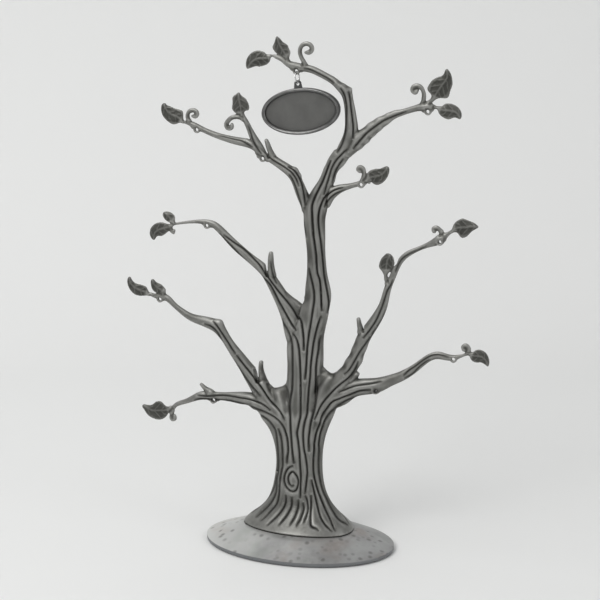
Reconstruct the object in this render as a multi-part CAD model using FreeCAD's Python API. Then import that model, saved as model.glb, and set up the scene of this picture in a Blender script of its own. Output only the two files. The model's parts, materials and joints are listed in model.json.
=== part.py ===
import FreeCAD, Part
import math
import os

# A table-top photo tree: a cast tree with bark, leaves and curled tendrils on a domed oval base.
# A small oval photo frame hangs from the crown by a jump ring.
# Frame of reference: X to the right, Y to the back, Z up. The origin is under the middle of the base.
# All lengths are in millimetres.

# Overall tree
tree_height = 273.8
view_distance_share = 3.287
aim_height_share = 0.496
aim_side_share = 0.0008
view_azimuth_deg = 20.0
view_pitch_deg = 12.4
focal_px = 1698.0
picture_middle_px = 300.0

# Oval base
base_length = 105.4
base_width = 73.0
base_rim_height = 2.2
base_dome_rise = 8.8
base_dome_power = 0.45
base_dome_rings = 12

# Felt pad let into the underside of the base
felt_thickness = 1.4
felt_proud = 0.4
felt_edge_margin = 3.0
felt_side_gap = 0.3

# Screws that hold the tree down from below
screw_diameter = 4.0
screw_length = 16.0
screw_head_diameter = 7.6
screw_head_height = 2.2
screw_spacing = 18.0
screw_hole_gap = 0.25
screw_socket_width = 2.5
screw_socket_depth = 1.2
screw_socket_sides = 6

# Trunk root, hidden inside the base before the base is cut away from it
trunk_root_height = 4.0

# Hanging eyes on the boughs
eye_bore = 1.9
eye_outer_diameter = 3.8
eye_thickness = 2.0
thick_eye_thickness = 3.4
deep_eye_thickness = 5.2

# Leaves and tendrils
leaf_thickness = 2.0
tendril_depth_share = 1.0

# Jump ring
ring_wire = 0.7
ring_middle_diameter = 5.9
ring_slit = 0.12
ring_drop = 0.3

# Oval hanging frame
frame_length = 43.0
frame_height = 24.2
frame_depth = 3.6
frame_rim_width = 1.9
frame_lip_width = 0.8
frame_lip_depth = 1.4
frame_rim_round = 0.55
frame_lean_deg = 6.5
tab_width = 4.6
tab_thickness = 1.5
tab_hole = 2.0
tab_top_wall = 0.9
tab_neck = 2.2
backing_thickness = 0.8
backing_gap = 0.1

# One overrun serves every cut
overrun = 1.0

# The trunk's two outlines, from the foot to the line where the boughs part: left pixel, right
# pixel and the trunk's depth there as a share of its width.
trunk_outline_px = [
    ((240.5, 521.5), (356.0, 530.0), 0.60),
    ((245.0, 516.5), (351.0, 524.0), 0.58),
    ((252.0, 510.5), (343.5, 517.0), 0.55),
    ((259.5, 505.5), (337.0, 510.0), 0.54),
    ((266.5, 498.5), (331.0, 501.5), 0.54),
    ((271.0, 490.0), (327.0, 492.5), 0.57),
    ((274.2, 478.0), (324.0, 480.5), 0.60),
    ((276.2, 461.0), (322.8, 463.0), 0.61),
    ((275.2, 447.0), (323.6, 448.5), 0.58),
    ((272.2, 435.0), (326.0, 436.0), 0.51),
    ((266.5, 424.0), (330.5, 423.5), 0.41),
    ((257.5, 411.8), (337.5, 409.8), 0.30),
]

# Limbs: pixel across, pixel down and width in pixels along the middle line, root first.
# A fourth number is the depth there as a share of the width, where it isn't the limb's own.
limb_lines_px = {
    "main_stem": [
        (303.0, 428.0, 36.0, 0.70), (303.0, 412.0, 35.0, 0.70), (303.5, 397.0, 34.5, 0.68),
        (304.5, 380.0, 35.5), (305.5, 362.0, 36.5), (305.3, 346.0, 37.0), (307.5, 330.0, 35.0),
        (311.5, 316.0, 33.0), (315.0, 303.0, 29.5), (316.7, 292.0, 25.5), (317.0, 278.0, 21.5),
        (316.7, 264.0, 19.2), (316.0, 250.0, 18.6), (314.7, 235.0, 19.6), (314.0, 221.0, 21.5),
        (315.2, 208.0, 21.5), (318.6, 196.5, 18.6), (323.2, 187.5, 16.0), (327.3, 179.0, 14.6),
        (330.8, 169.5, 14.4), (335.6, 160.5, 14.8), (341.5, 152.0, 16.4), (347.0, 144.5, 17.0),
    ],
    "crown_bough": [
        (336.0, 162.0, 12.0), (343.0, 151.0, 13.5), (348.6, 140.5, 14.5), (351.3, 130.0, 14.2),
        (351.0, 120.0, 12.6), (350.0, 110.0, 11.2), (348.3, 100.0, 10.6), (345.8, 92.5, 11.2),
        (341.2, 86.7, 11.0), (335.6, 82.0, 9.0), (330.0, 78.6, 7.8), (320.0, 73.2, 7.6),
        (310.0, 69.0, 7.8), (302.0, 67.6, 7.8), (295.0, 66.0, 8.2), (290.0, 64.5, 7.6),
        (285.0, 61.5, 6.0), (280.0, 58.3, 5.0), (275.0, 56.4, 4.0), (267.5, 55.5, 3.2),
    ],
    "right_top_bough": [
        (333.0, 164.0, 11.0), (341.0, 155.5, 13.0), (350.0, 146.0, 14.0), (360.0, 137.3, 13.2),
        (370.0, 130.0, 10.6), (380.0, 123.4, 8.9), (390.0, 117.8, 7.5), (400.0, 113.3, 6.7),
        (410.0, 110.0, 6.4), (418.0, 107.8, 7.2), (424.0, 106.8, 8.6), (430.2, 106.6, 7.6),
        (434.6, 107.2, 5.0),
    ],
    "right_top_twig": [
        (319.0, 209.0, 12.0), (325.0, 200.5, 12.5), (332.0, 193.0, 11.5), (340.0, 188.7, 8.8),
        (349.0, 186.3, 6.0), (357.0, 184.2, 5.2), (363.5, 181.8, 4.6), (368.0, 179.8, 4.2),
    ],
    "left_top_bough": [
        (310.5, 219.0, 13.0), (307.5, 208.0, 13.5), (303.3, 196.5, 12.6), (299.6, 187.5, 11.8),
        (295.8, 178.5, 11.4), (290.3, 171.3, 11.4), (283.0, 166.0, 10.0), (275.5, 161.0, 9.4),
        (266.8, 154.8, 9.8), (258.5, 148.0, 10.2), (250.5, 143.8, 9.6), (240.5, 141.6, 8.6),
        (230.0, 139.3, 7.6), (220.0, 136.4, 6.5), (210.0, 132.7, 5.9), (200.0, 128.0, 5.7),
        (193.5, 124.8, 6.0), (188.5, 122.9, 4.6), (184.5, 122.2, 3.0), (180.0, 121.6, 2.6),
    ],
    "left_top_twig": [
        (265.5, 156.5, 5.6), (262.2, 151.3, 7.4), (258.4, 145.6, 8.6), (254.0, 138.5, 8.0),
        (250.4, 131.0, 6.4), (247.6, 124.8, 5.6), (244.6, 119.0, 5.0), (241.4, 112.4, 4.0),
    ],
    "left_high_bough": [
        (300.0, 344.0, 24.0), (296.5, 330.0, 25.0), (291.0, 316.0, 20.5), (284.6, 303.0, 16.8),
        (278.0, 291.5, 14.2), (271.3, 280.0, 12.4), (262.5, 268.5, 11.0), (251.5, 259.3, 9.8),
        (240.5, 250.0, 9.6), (230.3, 240.3, 8.7), (220.8, 230.3, 7.6), (213.3, 224.2, 6.8),
        (205.0, 221.9, 5.4), (195.0, 221.6, 3.9), (185.0, 222.5, 3.1), (177.0, 223.6, 2.8),
        (170.0, 225.6, 3.0),
    ],
    "left_mid_bough": [
        (287.0, 424.0, 24.0, 0.86), (279.0, 411.0, 24.0, 0.86), (270.0, 398.5, 22.5, 0.80),
        (261.0, 387.5, 20.5), (252.8, 376.5, 16.8), (244.8, 365.5, 13.8), (237.3, 355.0, 11.9),
        (230.6, 345.5, 10.2), (225.0, 337.0, 10.2), (219.3, 329.0, 11.6), (211.5, 323.8, 11.6),
        (201.5, 320.4, 9.8), (191.0, 317.0, 7.6), (181.5, 310.8, 6.0), (173.5, 304.0, 5.4),
        (167.0, 298.0, 6.4), (160.0, 296.2, 6.0), (153.5, 295.4, 4.2), (146.0, 293.6, 3.4),
    ],
    "left_low_bough": [
        (284.0, 428.0, 26.0), (277.0, 418.5, 26.0), (269.0, 410.5, 24.0), (260.0, 404.8, 20.8),
        (250.0, 400.6, 17.0), (240.0, 398.0, 12.9), (230.0, 396.8, 9.8), (220.0, 396.2, 8.6),
        (210.0, 395.6, 9.0), (200.0, 395.8, 8.5), (193.0, 398.4, 6.6), (184.0, 401.8, 5.0),
        (176.0, 404.8, 4.4), (168.6, 408.8, 4.2),
    ],
    "right_mid_bough": [
        (317.0, 420.0, 24.0, 0.86), (323.5, 407.5, 24.0, 0.86), (331.5, 395.0, 22.5, 0.80),
        (339.5, 382.5, 21.0), (347.3, 370.5, 18.4), (353.0, 359.5, 16.0), (357.8, 349.0, 15.0),
        (363.0, 339.0, 14.0), (369.5, 329.0, 12.8), (376.3, 319.0, 11.6), (381.7, 309.0, 10.0),
        (385.0, 299.0, 8.4), (387.6, 289.0, 7.6), (391.2, 280.0, 7.0), (395.0, 271.0, 6.6),
        (399.5, 262.3, 6.4), (406.0, 255.3, 6.2), (414.0, 250.8, 5.4), (423.0, 247.0, 4.9),
        (432.0, 243.4, 7.0), (439.0, 239.8, 9.6), (445.2, 235.8, 6.6), (449.6, 232.8, 3.8),
        (453.6, 230.4, 3.4),
    ],
    "right_low_bough": [
        (314.0, 428.0, 26.0), (321.0, 417.5, 26.0), (329.5, 407.0, 24.0), (339.5, 397.0, 21.5),
        (350.0, 390.0, 18.6), (360.0, 387.0, 17.0), (370.0, 386.2, 16.2), (380.0, 384.4, 14.4),
        (390.0, 380.6, 11.6), (400.0, 376.8, 10.3), (410.0, 371.5, 9.3), (420.0, 364.3, 8.0),
        (429.5, 357.6, 7.6), (438.0, 355.3, 7.7), (446.0, 357.0, 7.0), (453.0, 357.8, 5.8),
        (460.0, 356.4, 4.0), (466.0, 354.4, 3.3), (471.5, 353.0, 3.2),
    ],
}

# Depth from front to back as a share of the limb's width.
limb_depth_share = {
    "main_stem": 0.66,
    "crown_bough": 0.84,
    "right_top_bough": 0.84,
    "right_top_twig": 0.84,
    "left_top_bough": 0.84,
    "left_top_twig": 0.84,
    "left_high_bough": 0.76,
    "left_mid_bough": 0.74,
    "left_low_bough": 0.72,
    "right_mid_bough": 0.74,
    "right_low_bough": 0.72,
}

# Thin webs in the two lowest forks: middle line, width and depth share, root first.
web_lines_px = {
    "left_fork_web": [
        (287.5, 424.0, 20.0, 0.60), (285.5, 410.0, 24.0, 0.44), (282.0, 399.0, 32.0, 0.32),
        (279.8, 391.6, 38.0, 0.24)],
    "right_fork_web": [
        (316.5, 424.0, 20.0, 0.60), (318.5, 408.0, 24.0, 0.44), (324.0, 391.0, 34.0, 0.30),
        (328.6, 377.4, 40.0, 0.22)],
}

# Lines where the boughs part, from the crotch down.
fork_lines_px = {
    "trunk_top": [(160.0, 414.24), (257.5, 411.8), (337.5, 409.8), (437.5, 407.3)],
    "left_low_from_left_mid": [
        (246.5, 387.5), (249.5, 390.5), (262.0, 399.0), (271.5, 411.0), (274.0, 418.0)],
    "left_mid_from_web": [
        (267.0, 382.0), (270.0, 388.0), (276.5, 399.0), (282.5, 411.0), (284.0, 418.0)],
    "web_from_main_left": [
        (278.0, 378.0), (286.5, 383.5), (290.5, 389.0), (290.0, 400.0), (290.0, 418.0)],
    "web_from_main_right": [
        (332.0, 364.0), (323.5, 369.5), (319.5, 375.0), (317.0, 390.0), (314.0, 418.0)],
    "right_mid_from_web": [(338.5, 369.0), (327.5, 388.0), (320.0, 409.0), (318.0, 418.0)],
    "right_low_from_right_mid": [
        (361.0, 373.5), (357.5, 378.0), (341.0, 391.0), (331.0, 404.0), (327.5, 418.0)],
    "left_high_from_main": [
        (304.5, 298.0), (303.0, 303.0), (301.5, 316.0), (297.5, 330.0), (291.0, 340.0),
        (283.0, 345.5), (272.0, 348.0)],
    "left_top_from_main": [
        (312.0, 188.0), (310.5, 192.5), (306.0, 205.0), (301.5, 214.0), (292.0, 222.0)],
    "right_top_twig_from_main": [
        (338.5, 175.0), (336.0, 180.0), (331.5, 187.0), (328.5, 196.0), (326.8, 207.0),
        (330.0, 222.0)],
    "upper_fork": [(322.0, 142.6), (336.0, 150.0), (347.5, 156.0), (362.0, 163.7)],
    "crown_from_right_top": [
        (361.5, 122.0), (359.0, 128.5), (353.5, 142.0), (345.8, 155.1), (340.5, 164.0)],
    "left_top_twig_from_bough": [
        (241.0, 132.0), (248.5, 138.8), (255.0, 144.8), (263.0, 150.5), (272.0, 158.0)],
}

# Ways across and down from a fork line, in pixels: each goes well past the limb that is cut.
to_left = (-60.0, 0.0)
to_right = (60.0, 0.0)
to_foot = (0.0, 60.0)
to_lower_right = (60.0, 30.0)
over_upper_fork = (18.0, -60.0)
under_upper_fork = (-18.0, 60.0)
over_top_twig = (36.0, -60.0)
under_top_twig = (-36.0, 60.0)

# What is taken from each limb: a fork line, and the way in which it is taken.
taken_away = {
    "left_fork_web": [
        ("trunk_top", to_foot), ("left_mid_from_web", to_left), ("web_from_main_left", to_right)],
    "right_fork_web": [
        ("trunk_top", to_foot), ("web_from_main_right", to_left), ("right_mid_from_web", to_right)],
    "main_stem": [
        ("trunk_top", to_foot), ("web_from_main_left", to_left), ("web_from_main_right", to_right),
        ("left_high_from_main", to_left), ("left_top_from_main", to_left),
        ("right_top_twig_from_main", to_right), ("upper_fork", over_upper_fork)],
    "crown_bough": [("upper_fork", under_upper_fork), ("crown_from_right_top", to_right)],
    "right_top_bough": [("upper_fork", under_upper_fork), ("crown_from_right_top", to_left)],
    "right_top_twig": [("right_top_twig_from_main", to_left)],
    "left_top_bough": [
        ("left_top_from_main", to_lower_right), ("left_top_twig_from_bough", over_top_twig)],
    "left_top_twig": [("left_top_twig_from_bough", under_top_twig)],
    "left_high_bough": [("left_high_from_main", to_lower_right)],
    "left_mid_bough": [
        ("trunk_top", to_foot), ("left_low_from_left_mid", to_left), ("left_mid_from_web", to_right)],
    "left_low_bough": [("trunk_top", to_foot), ("left_low_from_left_mid", to_right)],
    "right_mid_bough": [
        ("trunk_top", to_foot), ("right_mid_from_web", to_left),
        ("right_low_from_right_mid", to_right)],
    "right_low_bough": [("trunk_top", to_foot), ("right_low_from_right_mid", to_left)],
}

# Broken-off spurs: middle line and width in pixels, and the limb that each grows from.
# The first place is the seat, just inside the limb's edge.
spur_lines_px = {
    "left_top_spur": ("left_top_bough", [
        (272.9, 157.3, 7.0), (271.5, 153.8, 6.4), (269.8, 150.0, 5.8), (268.3, 146.0, 5.4),
        (267.0, 142.0, 4.7), (266.4, 140.6, 4.3)]),
    "left_high_spur": ("left_high_bough", [
        (272.0, 276.0, 8.4), (271.7, 273.0, 8.2), (271.4, 270.0, 7.8), (271.1, 267.0, 7.2),
        (270.9, 264.0, 6.6), (270.8, 261.0, 6.2), (270.8, 258.0, 5.9), (270.9, 255.6, 5.4),
        (271.0, 253.6, 4.9)]),
    "left_mid_spur": ("left_mid_bough", [
        (263.2, 380.5, 8.6), (262.7, 378.4, 8.1), (262.2, 376.2, 7.5), (261.7, 373.8, 6.7),
        (261.3, 371.4, 6.0), (261.0, 369.0, 5.4), (260.9, 366.6, 5.0), (261.0, 364.4, 4.8),
        (261.2, 362.4, 4.6)]),
    "left_low_spur": ("left_low_bough", [
        (211.0, 393.2, 8.0), (210.2, 391.4, 7.0), (207.6, 389.8, 5.6), (205.2, 388.2, 4.8),
        (203.0, 386.0, 4.0), (201.4, 384.4, 3.6)]),
    "right_mid_spur": ("right_mid_bough", [
        (361.6, 333.0, 8.0), (361.0, 330.8, 7.2), (360.4, 328.6, 6.4), (359.9, 326.4, 5.8),
        (359.4, 324.4, 5.3), (359.1, 322.6, 4.9), (358.8, 320.8, 4.6), (358.5, 319.2, 4.4)]),
}

# Leaves that end a limb, with their stalks: middle line and blade width in pixels, seat first.
end_leaf_lines_px = {
    "crown_end_leaf": ("crown_bough", [
        (270.4, 55.8, 3.2), (269.2, 56.3, 4.6), (268.2, 57.2, 7.8), (266.2, 58.2, 12.2),
        (262.6, 58.6, 15.4), (258.3, 58.6, 16.9), (254.6, 59.8, 15.6), (251.6, 62.0, 12.6),
        (249.4, 64.8, 8.8), (248.0, 67.2, 4.6), (247.2, 68.8, 1.5)]),
    "left_top_end_leaf": ("left_top_bough", [
        (183.2, 122.0, 2.8), (181.9, 121.0, 4.8), (180.4, 119.4, 9.0), (177.3, 117.2, 13.8),
        (171.8, 115.0, 16.0), (167.8, 111.8, 14.4), (165.4, 108.4, 10.8), (164.3, 105.6, 6.6),
        (164.7, 103.0, 1.8)]),
    "left_top_twig_leaf": ("left_top_twig", [
        (242.3, 114.9, 4.2), (241.8, 113.4, 5.6), (240.9, 111.6, 11.4), (240.5, 109.6, 17.0),
        (240.4, 106.2, 18.8), (239.4, 102.0, 15.6), (238.5, 98.0, 10.4), (238.5, 95.0, 5.6),
        (239.0, 92.4, 1.5)]),
    "right_top_twig_leaf": ("right_top_twig", [
        (366.2, 180.7, 4.2), (368.0, 179.4, 6.0), (369.6, 178.2, 8.8), (372.0, 177.3, 12.6),
        (375.0, 176.7, 15.2), (379.0, 175.8, 15.6), (383.2, 173.2, 12.4), (386.2, 169.6, 8.2),
        (387.9, 166.6, 2.8)]),
    "left_high_end_leaf": ("left_high_bough", [
        (172.6, 224.8, 3.0), (171.2, 225.6, 4.0), (169.4, 226.7, 5.8), (165.8, 227.7, 10.4),
        (161.8, 228.7, 13.8), (157.9, 230.0, 14.2), (155.0, 232.4, 12.0), (153.8, 235.2, 8.8),
        (153.7, 238.0, 4.8), (154.2, 239.9, 1.6)]),
    "left_mid_end_leaf": ("left_mid_bough", [
        (149.2, 294.3, 3.6), (147.6, 293.6, 4.8), (146.0, 292.8, 7.2), (143.2, 291.4, 10.6),
        (138.0, 289.6, 12.4), (133.6, 287.0, 10.2), (130.8, 283.4, 7.4), (129.5, 279.4, 4.8),
        (129.6, 276.6, 1.6)]),
    "left_low_end_leaf": ("left_low_bough", [
        (171.0, 407.4, 4.0), (169.4, 408.4, 4.2), (167.4, 409.4, 7.2), (164.2, 410.4, 15.0),
        (160.0, 410.4, 19.4), (156.0, 410.4, 18.4), (152.0, 410.4, 14.4), (148.2, 408.8, 9.6),
        (145.2, 406.6, 5.6), (142.9, 404.7, 2.0)]),
    "right_mid_end_leaf": ("right_mid_bough", [
        (450.6, 232.2, 3.6), (453.2, 230.6, 4.4), (455.2, 228.8, 8.6), (458.6, 227.8, 15.2),
        (462.2, 227.7, 19.0), (466.2, 227.5, 17.4), (470.2, 226.7, 12.2), (474.2, 226.6, 7.6),
        (477.0, 227.0, 3.8), (478.5, 227.3, 1.4)]),
    "right_low_end_leaf": ("right_low_bough", [
        (469.2, 353.7, 3.4), (470.8, 354.3, 5.2), (472.2, 355.2, 8.6), (474.4, 356.0, 12.2),
        (477.6, 356.1, 13.8), (481.7, 357.0, 13.2), (484.8, 359.5, 10.2), (486.6, 362.4, 7.0),
        (487.6, 365.0, 3.6), (487.4, 366.6, 1.5)]),
}

# Leaves that leave the side of a limb.
side_leaf_lines_px = {
    "crown_top_leaf": ("crown_bough", [
        (287.6, 61.2, 4.4), (287.2, 59.4, 4.6), (286.4, 57.4, 5.4), (285.4, 55.2, 7.2),
        (284.0, 52.4, 10.6), (282.0, 49.4, 15.4), (280.0, 46.0, 13.2), (278.4, 42.0, 8.2),
        (277.4, 39.0, 4.6), (276.9, 36.8, 1.5)]),
    "right_top_upper_leaf": ("right_top_bough", [
        (428.4, 103.4, 4.6), (431.2, 100.8, 4.4), (433.4, 98.4, 5.2), (434.8, 96.4, 8.6),
        (436.2, 93.6, 17.0), (438.8, 89.7, 22.2), (442.0, 85.0, 21.0), (445.2, 81.0, 16.4),
        (447.0, 77.2, 11.4), (447.3, 73.4, 7.4), (446.8, 70.6, 4.2), (446.5, 68.7, 1.4)]),
    "right_top_lower_leaf": ("right_top_bough", [
        (432.4, 107.0, 3.5), (434.6, 107.4, 3.4), (437.8, 107.9, 3.8), (440.2, 109.4, 8.0),
        (443.0, 110.5, 13.2), (447.0, 110.7, 15.8), (451.2, 110.9, 15.0), (455.0, 112.0, 12.6),
        (457.8, 114.2, 9.6), (459.4, 116.8, 6.0), (460.2, 119.2, 2.0)]),
    "left_high_top_leaf": ("left_high_bough", [
        (174.8, 224.0, 2.4), (173.2, 221.9, 4.2), (171.2, 219.8, 7.6), (168.8, 216.8, 10.2),
        (166.0, 213.9, 7.2), (164.0, 212.2, 2.2)]),
    "left_mid_top_leaf": ("left_mid_bough", [
        (163.4, 294.3, 4.4), (163.1, 292.9, 5.4), (162.0, 291.2, 7.4), (159.8, 289.2, 10.0),
        (156.6, 287.2, 10.6), (153.9, 284.1, 7.6), (152.8, 281.0, 4.6), (152.8, 278.9, 1.6)]),
    "right_mid_inner_leaf": ("right_mid_bough", [
        (387.2, 284.0, 5.0), (386.4, 280.5, 4.2), (385.9, 277.0, 3.9), (385.7, 274.4, 4.6),
        (385.8, 272.4, 7.2), (386.1, 269.6, 10.8), (386.4, 265.0, 14.0), (387.2, 260.6, 13.4),
        (389.0, 257.1, 10.0), (391.0, 254.9, 4.0)]),
}

# Curled tendrils: middle line and wire width in pixels, seat first.
tendril_lines_px = {
    "crown_tendril": ("crown_bough", [
        (305.2, 65.6, 5.6), (303.6, 61.4, 4.8), (301.2, 57.0, 4.3), (299.6, 51.8, 3.9),
        (300.5, 47.0, 3.7), (303.3, 43.9, 3.6), (307.0, 43.0, 3.6), (310.6, 44.4, 3.6),
        (312.6, 47.6, 3.6), (311.9, 51.2, 3.6), (308.9, 53.2, 3.6), (305.9, 52.4, 3.6)]),
    "left_top_tendril": ("left_top_bough", [
        (189.6, 122.4, 4.6), (187.9, 118.6, 4.2), (187.2, 115.2, 3.8), (188.4, 111.9, 3.6),
        (191.0, 109.9, 3.5), (194.4, 109.8, 3.5), (197.1, 111.7, 3.5), (197.5, 114.9, 3.5),
        (195.2, 117.0, 3.5), (192.6, 116.0, 3.2)]),
    "left_top_twig_tendril": ("left_top_twig", [
        (243.2, 119.4, 4.4), (240.6, 117.6, 4.0), (236.6, 116.6, 3.9), (231.8, 117.2, 3.9),
        (228.0, 120.2, 3.8), (225.9, 124.2, 3.8), (226.6, 127.6, 3.7), (229.6, 129.0, 3.6),
        (232.3, 127.3, 3.5), (232.1, 124.4, 3.3)]),
    "right_top_tendril": ("right_top_bough", [
        (422.6, 104.2, 5.2), (423.7, 99.5, 4.6), (424.4, 94.4, 4.1), (423.3, 89.5, 3.8),
        (420.6, 86.2, 3.7), (417.0, 84.9, 3.6), (413.5, 86.1, 3.6), (411.8, 89.1, 3.6),
        (412.9, 92.2, 3.6), (415.9, 93.0, 3.6), (417.4, 90.8, 3.2)]),
    "right_top_twig_tendril": ("right_top_twig", [
        (362.0, 180.3, 4.2), (363.3, 177.2, 4.0), (364.8, 173.4, 3.7), (364.1, 169.3, 3.6),
        (361.5, 166.8, 3.5), (358.5, 167.3, 3.5), (357.8, 170.1, 3.5), (360.2, 171.4, 3.4)]),
    "left_high_tendril": ("left_high_end_leaf", [
        (171.2, 227.2, 2.6), (171.5, 229.2, 2.9), (172.2, 231.2, 3.3), (173.4, 232.6, 3.6)]),
    "left_low_tendril": ("left_low_bough", [
        (174.8, 406.8, 3.0), (173.0, 410.4, 3.2), (171.4, 414.0, 3.3), (171.0, 417.2, 3.4),
        (172.9, 419.8, 3.5), (175.2, 418.4, 3.5), (174.8, 416.0, 3.4)]),
    "right_mid_tendril": ("right_mid_bough", [
        (441.8, 236.8, 4.4), (441.5, 233.2, 3.9), (440.4, 229.8, 3.6), (437.8, 227.5, 3.5),
        (434.8, 227.2, 3.5), (432.9, 229.2, 3.4), (433.6, 231.4, 3.2)]),
    "right_low_tendril": ("right_low_bough", [
        (467.6, 353.8, 3.2), (468.9, 350.8, 3.6), (469.1, 348.0, 3.6), (467.3, 345.6, 3.5),
        (464.5, 345.1, 3.5), (462.6, 347.1, 3.5), (463.5, 349.8, 3.3)]),
}

# How wide and how long the notch is that a limb gets for what grows from it, as shares of the
# seat's width: a side seat is a close fit and an end seat cuts the limb off.
side_seat_share = 1.25
end_seat_share = 3.0
seat_reach_share = 1.6

# Hanging eyes: middle of the bore in pixels, how thick the eye is from front to back, and the limbs
# that it is let into. An eye in a thick part of a bough is as thick as the bough is there.
eye_places_px = {
    "crown_eye": ((296.5, 71.0), eye_thickness, ["crown_bough"]),
    "left_top_outer_eye": ((197.0, 129.6), eye_thickness, ["left_top_bough"]),
    "left_top_inner_eye": ((262.8, 158.4), eye_thickness, ["left_top_bough"]),
    "right_top_eye": ((428.0, 111.6), eye_thickness, ["right_top_bough"]),
    "right_top_twig_eye": ((361.2, 184.6), eye_thickness, ["right_top_twig"]),
    "left_high_eye": ((207.1, 225.4), eye_thickness, ["left_high_bough"]),
    "left_mid_eye": ((160.2, 299.0), eye_thickness, ["left_mid_bough", "left_mid_top_leaf"]),
    "left_low_eye": ((213.9, 399.8), thick_eye_thickness, ["left_low_bough"]),
    "right_mid_eye": ((440.3, 241.8), thick_eye_thickness, ["right_mid_bough"]),
    "right_low_outer_eye": ((453.5, 359.2), eye_thickness, ["right_low_bough"]),
    "right_low_inner_eye": ((376.4, 390.7), deep_eye_thickness, ["right_low_bough"]),
}

# Rounding of a free end: how far along the nose each ring stands, in degrees of a quarter turn.
nose_angles_deg = [35.0, 60.0, 80.0]

azimuth = math.radians(view_azimuth_deg)
pitch = math.radians(view_pitch_deg)
view_back = FreeCAD.Vector(
    math.sin(azimuth) * math.cos(pitch), -math.cos(azimuth) * math.cos(pitch), math.sin(pitch))
view_right = FreeCAD.Vector(math.cos(azimuth), math.sin(azimuth), 0)
view_up = view_back.cross(view_right)
view_aim = FreeCAD.Vector(0, 0, tree_height * aim_height_share)
view_point = (view_aim + view_right * (tree_height * aim_side_share)
              + view_back * (tree_height * view_distance_share))
to_back = FreeCAD.Vector(0, 1, 0)
upward = FreeCAD.Vector(0, 0, 1)
unit_circle = Part.Circle(FreeCAD.Vector(0, 0, 0), upward, 1).toShape()

base_bottom = felt_proud
base_top = base_bottom + base_rim_height + base_dome_rise


def tree_point(across_px, down_px):
    """The place on the tree's middle plane that lies behind one pixel of the photograph."""
    ray = (view_right * ((across_px - picture_middle_px) / focal_px)
           - view_up * ((down_px - picture_middle_px) / focal_px) - view_back)
    reach = -view_point.y / ray.y
    return view_point + ray * reach


def half_width_for(half_span, depth_share):
    """Half-width of an oval section whose outline, seen at the photo's angle, spans half_span."""
    side = FreeCAD.Vector(half_span)
    side.normalize()
    seen_across = side.dot(view_right) ** 2 + side.dot(view_up) ** 2
    seen_deep = (to_back.dot(view_right) * side.x + to_back.dot(view_up) * side.z) ** 2
    return half_span * math.sqrt(seen_across / (seen_across + depth_share ** 2 * seen_deep))


def oval_ring(middle, half_width, half_depth):
    """Closed oval wire round middle: half_width is a vector in the tree's plane."""
    along = half_width.cross(to_back)
    along.normalize()
    matrix = FreeCAD.Matrix(
        half_width.x, 0, along.x, middle.x,
        half_width.y, half_depth, along.y, middle.y,
        half_width.z, 0, along.z, middle.z,
        0, 0, 0, 1)
    return Part.Wire([unit_circle.transformGeometry(matrix)])


def limb_sections(line_px, depth_share, depth_limit=None):
    """Middle, half-width vector and half-depth of each oval section along a middle line."""
    sections = []
    for index, (across, down, width, *own_share) in enumerate(line_px):
        share = own_share[0] if own_share else depth_share
        before = line_px[max(index - 1, 0)]
        after = line_px[min(index + 1, len(line_px) - 1)]
        run = math.hypot(after[0] - before[0], after[1] - before[1])
        side_across = -(after[1] - before[1]) / run
        side_down = (after[0] - before[0]) / run
        near = tree_point(across - side_across * width / 2, down - side_down * width / 2)
        far = tree_point(across + side_across * width / 2, down + side_down * width / 2)
        half_width = half_width_for((far - near) / 2, share)
        half_depth = half_width.Length * share
        if depth_limit is not None:
            half_depth = min(half_depth, depth_limit / 2)
        sections.append(((near + far) / 2, half_width, half_depth))
    return sections


def with_nose(sections):
    """The same sections with a rounded free end added past the last one."""
    middle, half_width, half_depth = sections[-1]
    heading = middle - sections[-2][0]
    heading.normalize()
    rounded = list(sections)
    for angle_deg in nose_angles_deg:
        angle = math.radians(angle_deg)
        rounded.append((middle + heading * (half_width.Length * math.sin(angle)),
                        half_width * math.cos(angle), half_depth * math.cos(angle)))
    return rounded


def with_round_edge(sections):
    """The same sections with the last one's wide edge rounded off front to back."""
    middle, half_width, half_depth = sections[-1]
    heading = middle - sections[-2][0]
    heading.normalize()
    rounded = list(sections)
    for angle_deg in nose_angles_deg:
        angle = math.radians(angle_deg)
        rounded.append((middle + heading * (half_depth * math.sin(angle)), half_width,
                        half_depth * math.cos(angle)))
    return rounded


def skinned(sections):
    """Solid skinned over oval sections."""
    return Part.makeLoft([oval_ring(*section) for section in sections], True, False)


def largest(shape):
    """The biggest solid of a shape: what is left outside after a root is cut away."""
    return max(shape.Solids, key=lambda solid: solid.Volume)


def seat_block(sections, width_share):
    """Block over the seat of something that grows from a limb, as deep as the tree."""
    middle, half_width, _ = sections[0]
    heading = sections[1][0] - middle
    along = half_width.cross(to_back)
    if along.dot(heading) < 0:
        along = along * -1
    along.normalize()
    side = half_width * width_share
    reach = along * (2 * half_width.Length * seat_reach_share)
    front = to_back * (-tree_height / 2)
    corners = [middle - side, middle + side, middle + side + reach, middle - side + reach]
    corners = [corner + front for corner in corners]
    return Part.Face(Part.makePolygon(corners + [corners[0]])).extrude(to_back * tree_height)


def fork_block(line_name, way):
    """Block on one side of a fork line, through the whole depth of the tree."""
    line = fork_lines_px[line_name]
    across, down = way
    corners_px = line + [(u + across, v + down) for u, v in reversed(line)]
    front = to_back * (-tree_height / 2)
    corners = [tree_point(u, v) + front for u, v in corners_px]
    return Part.Face(Part.makePolygon(corners + [corners[0]])).extrude(to_back * tree_height)


def parted(name, shape):
    """The limb with its root cut off at its fork lines."""
    blocks = [fork_block(line_name, way) for line_name, way in taken_away[name]]
    return largest(shape.cut(blocks))


def oval_plate(length, width, height, bottom):
    """Oval plate that lies flat."""
    oval = Part.Ellipse(FreeCAD.Vector(0, 0, bottom), length / 2, width / 2)
    return Part.Face(Part.Wire([oval.toShape()])).extrude(upward * height)


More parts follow.
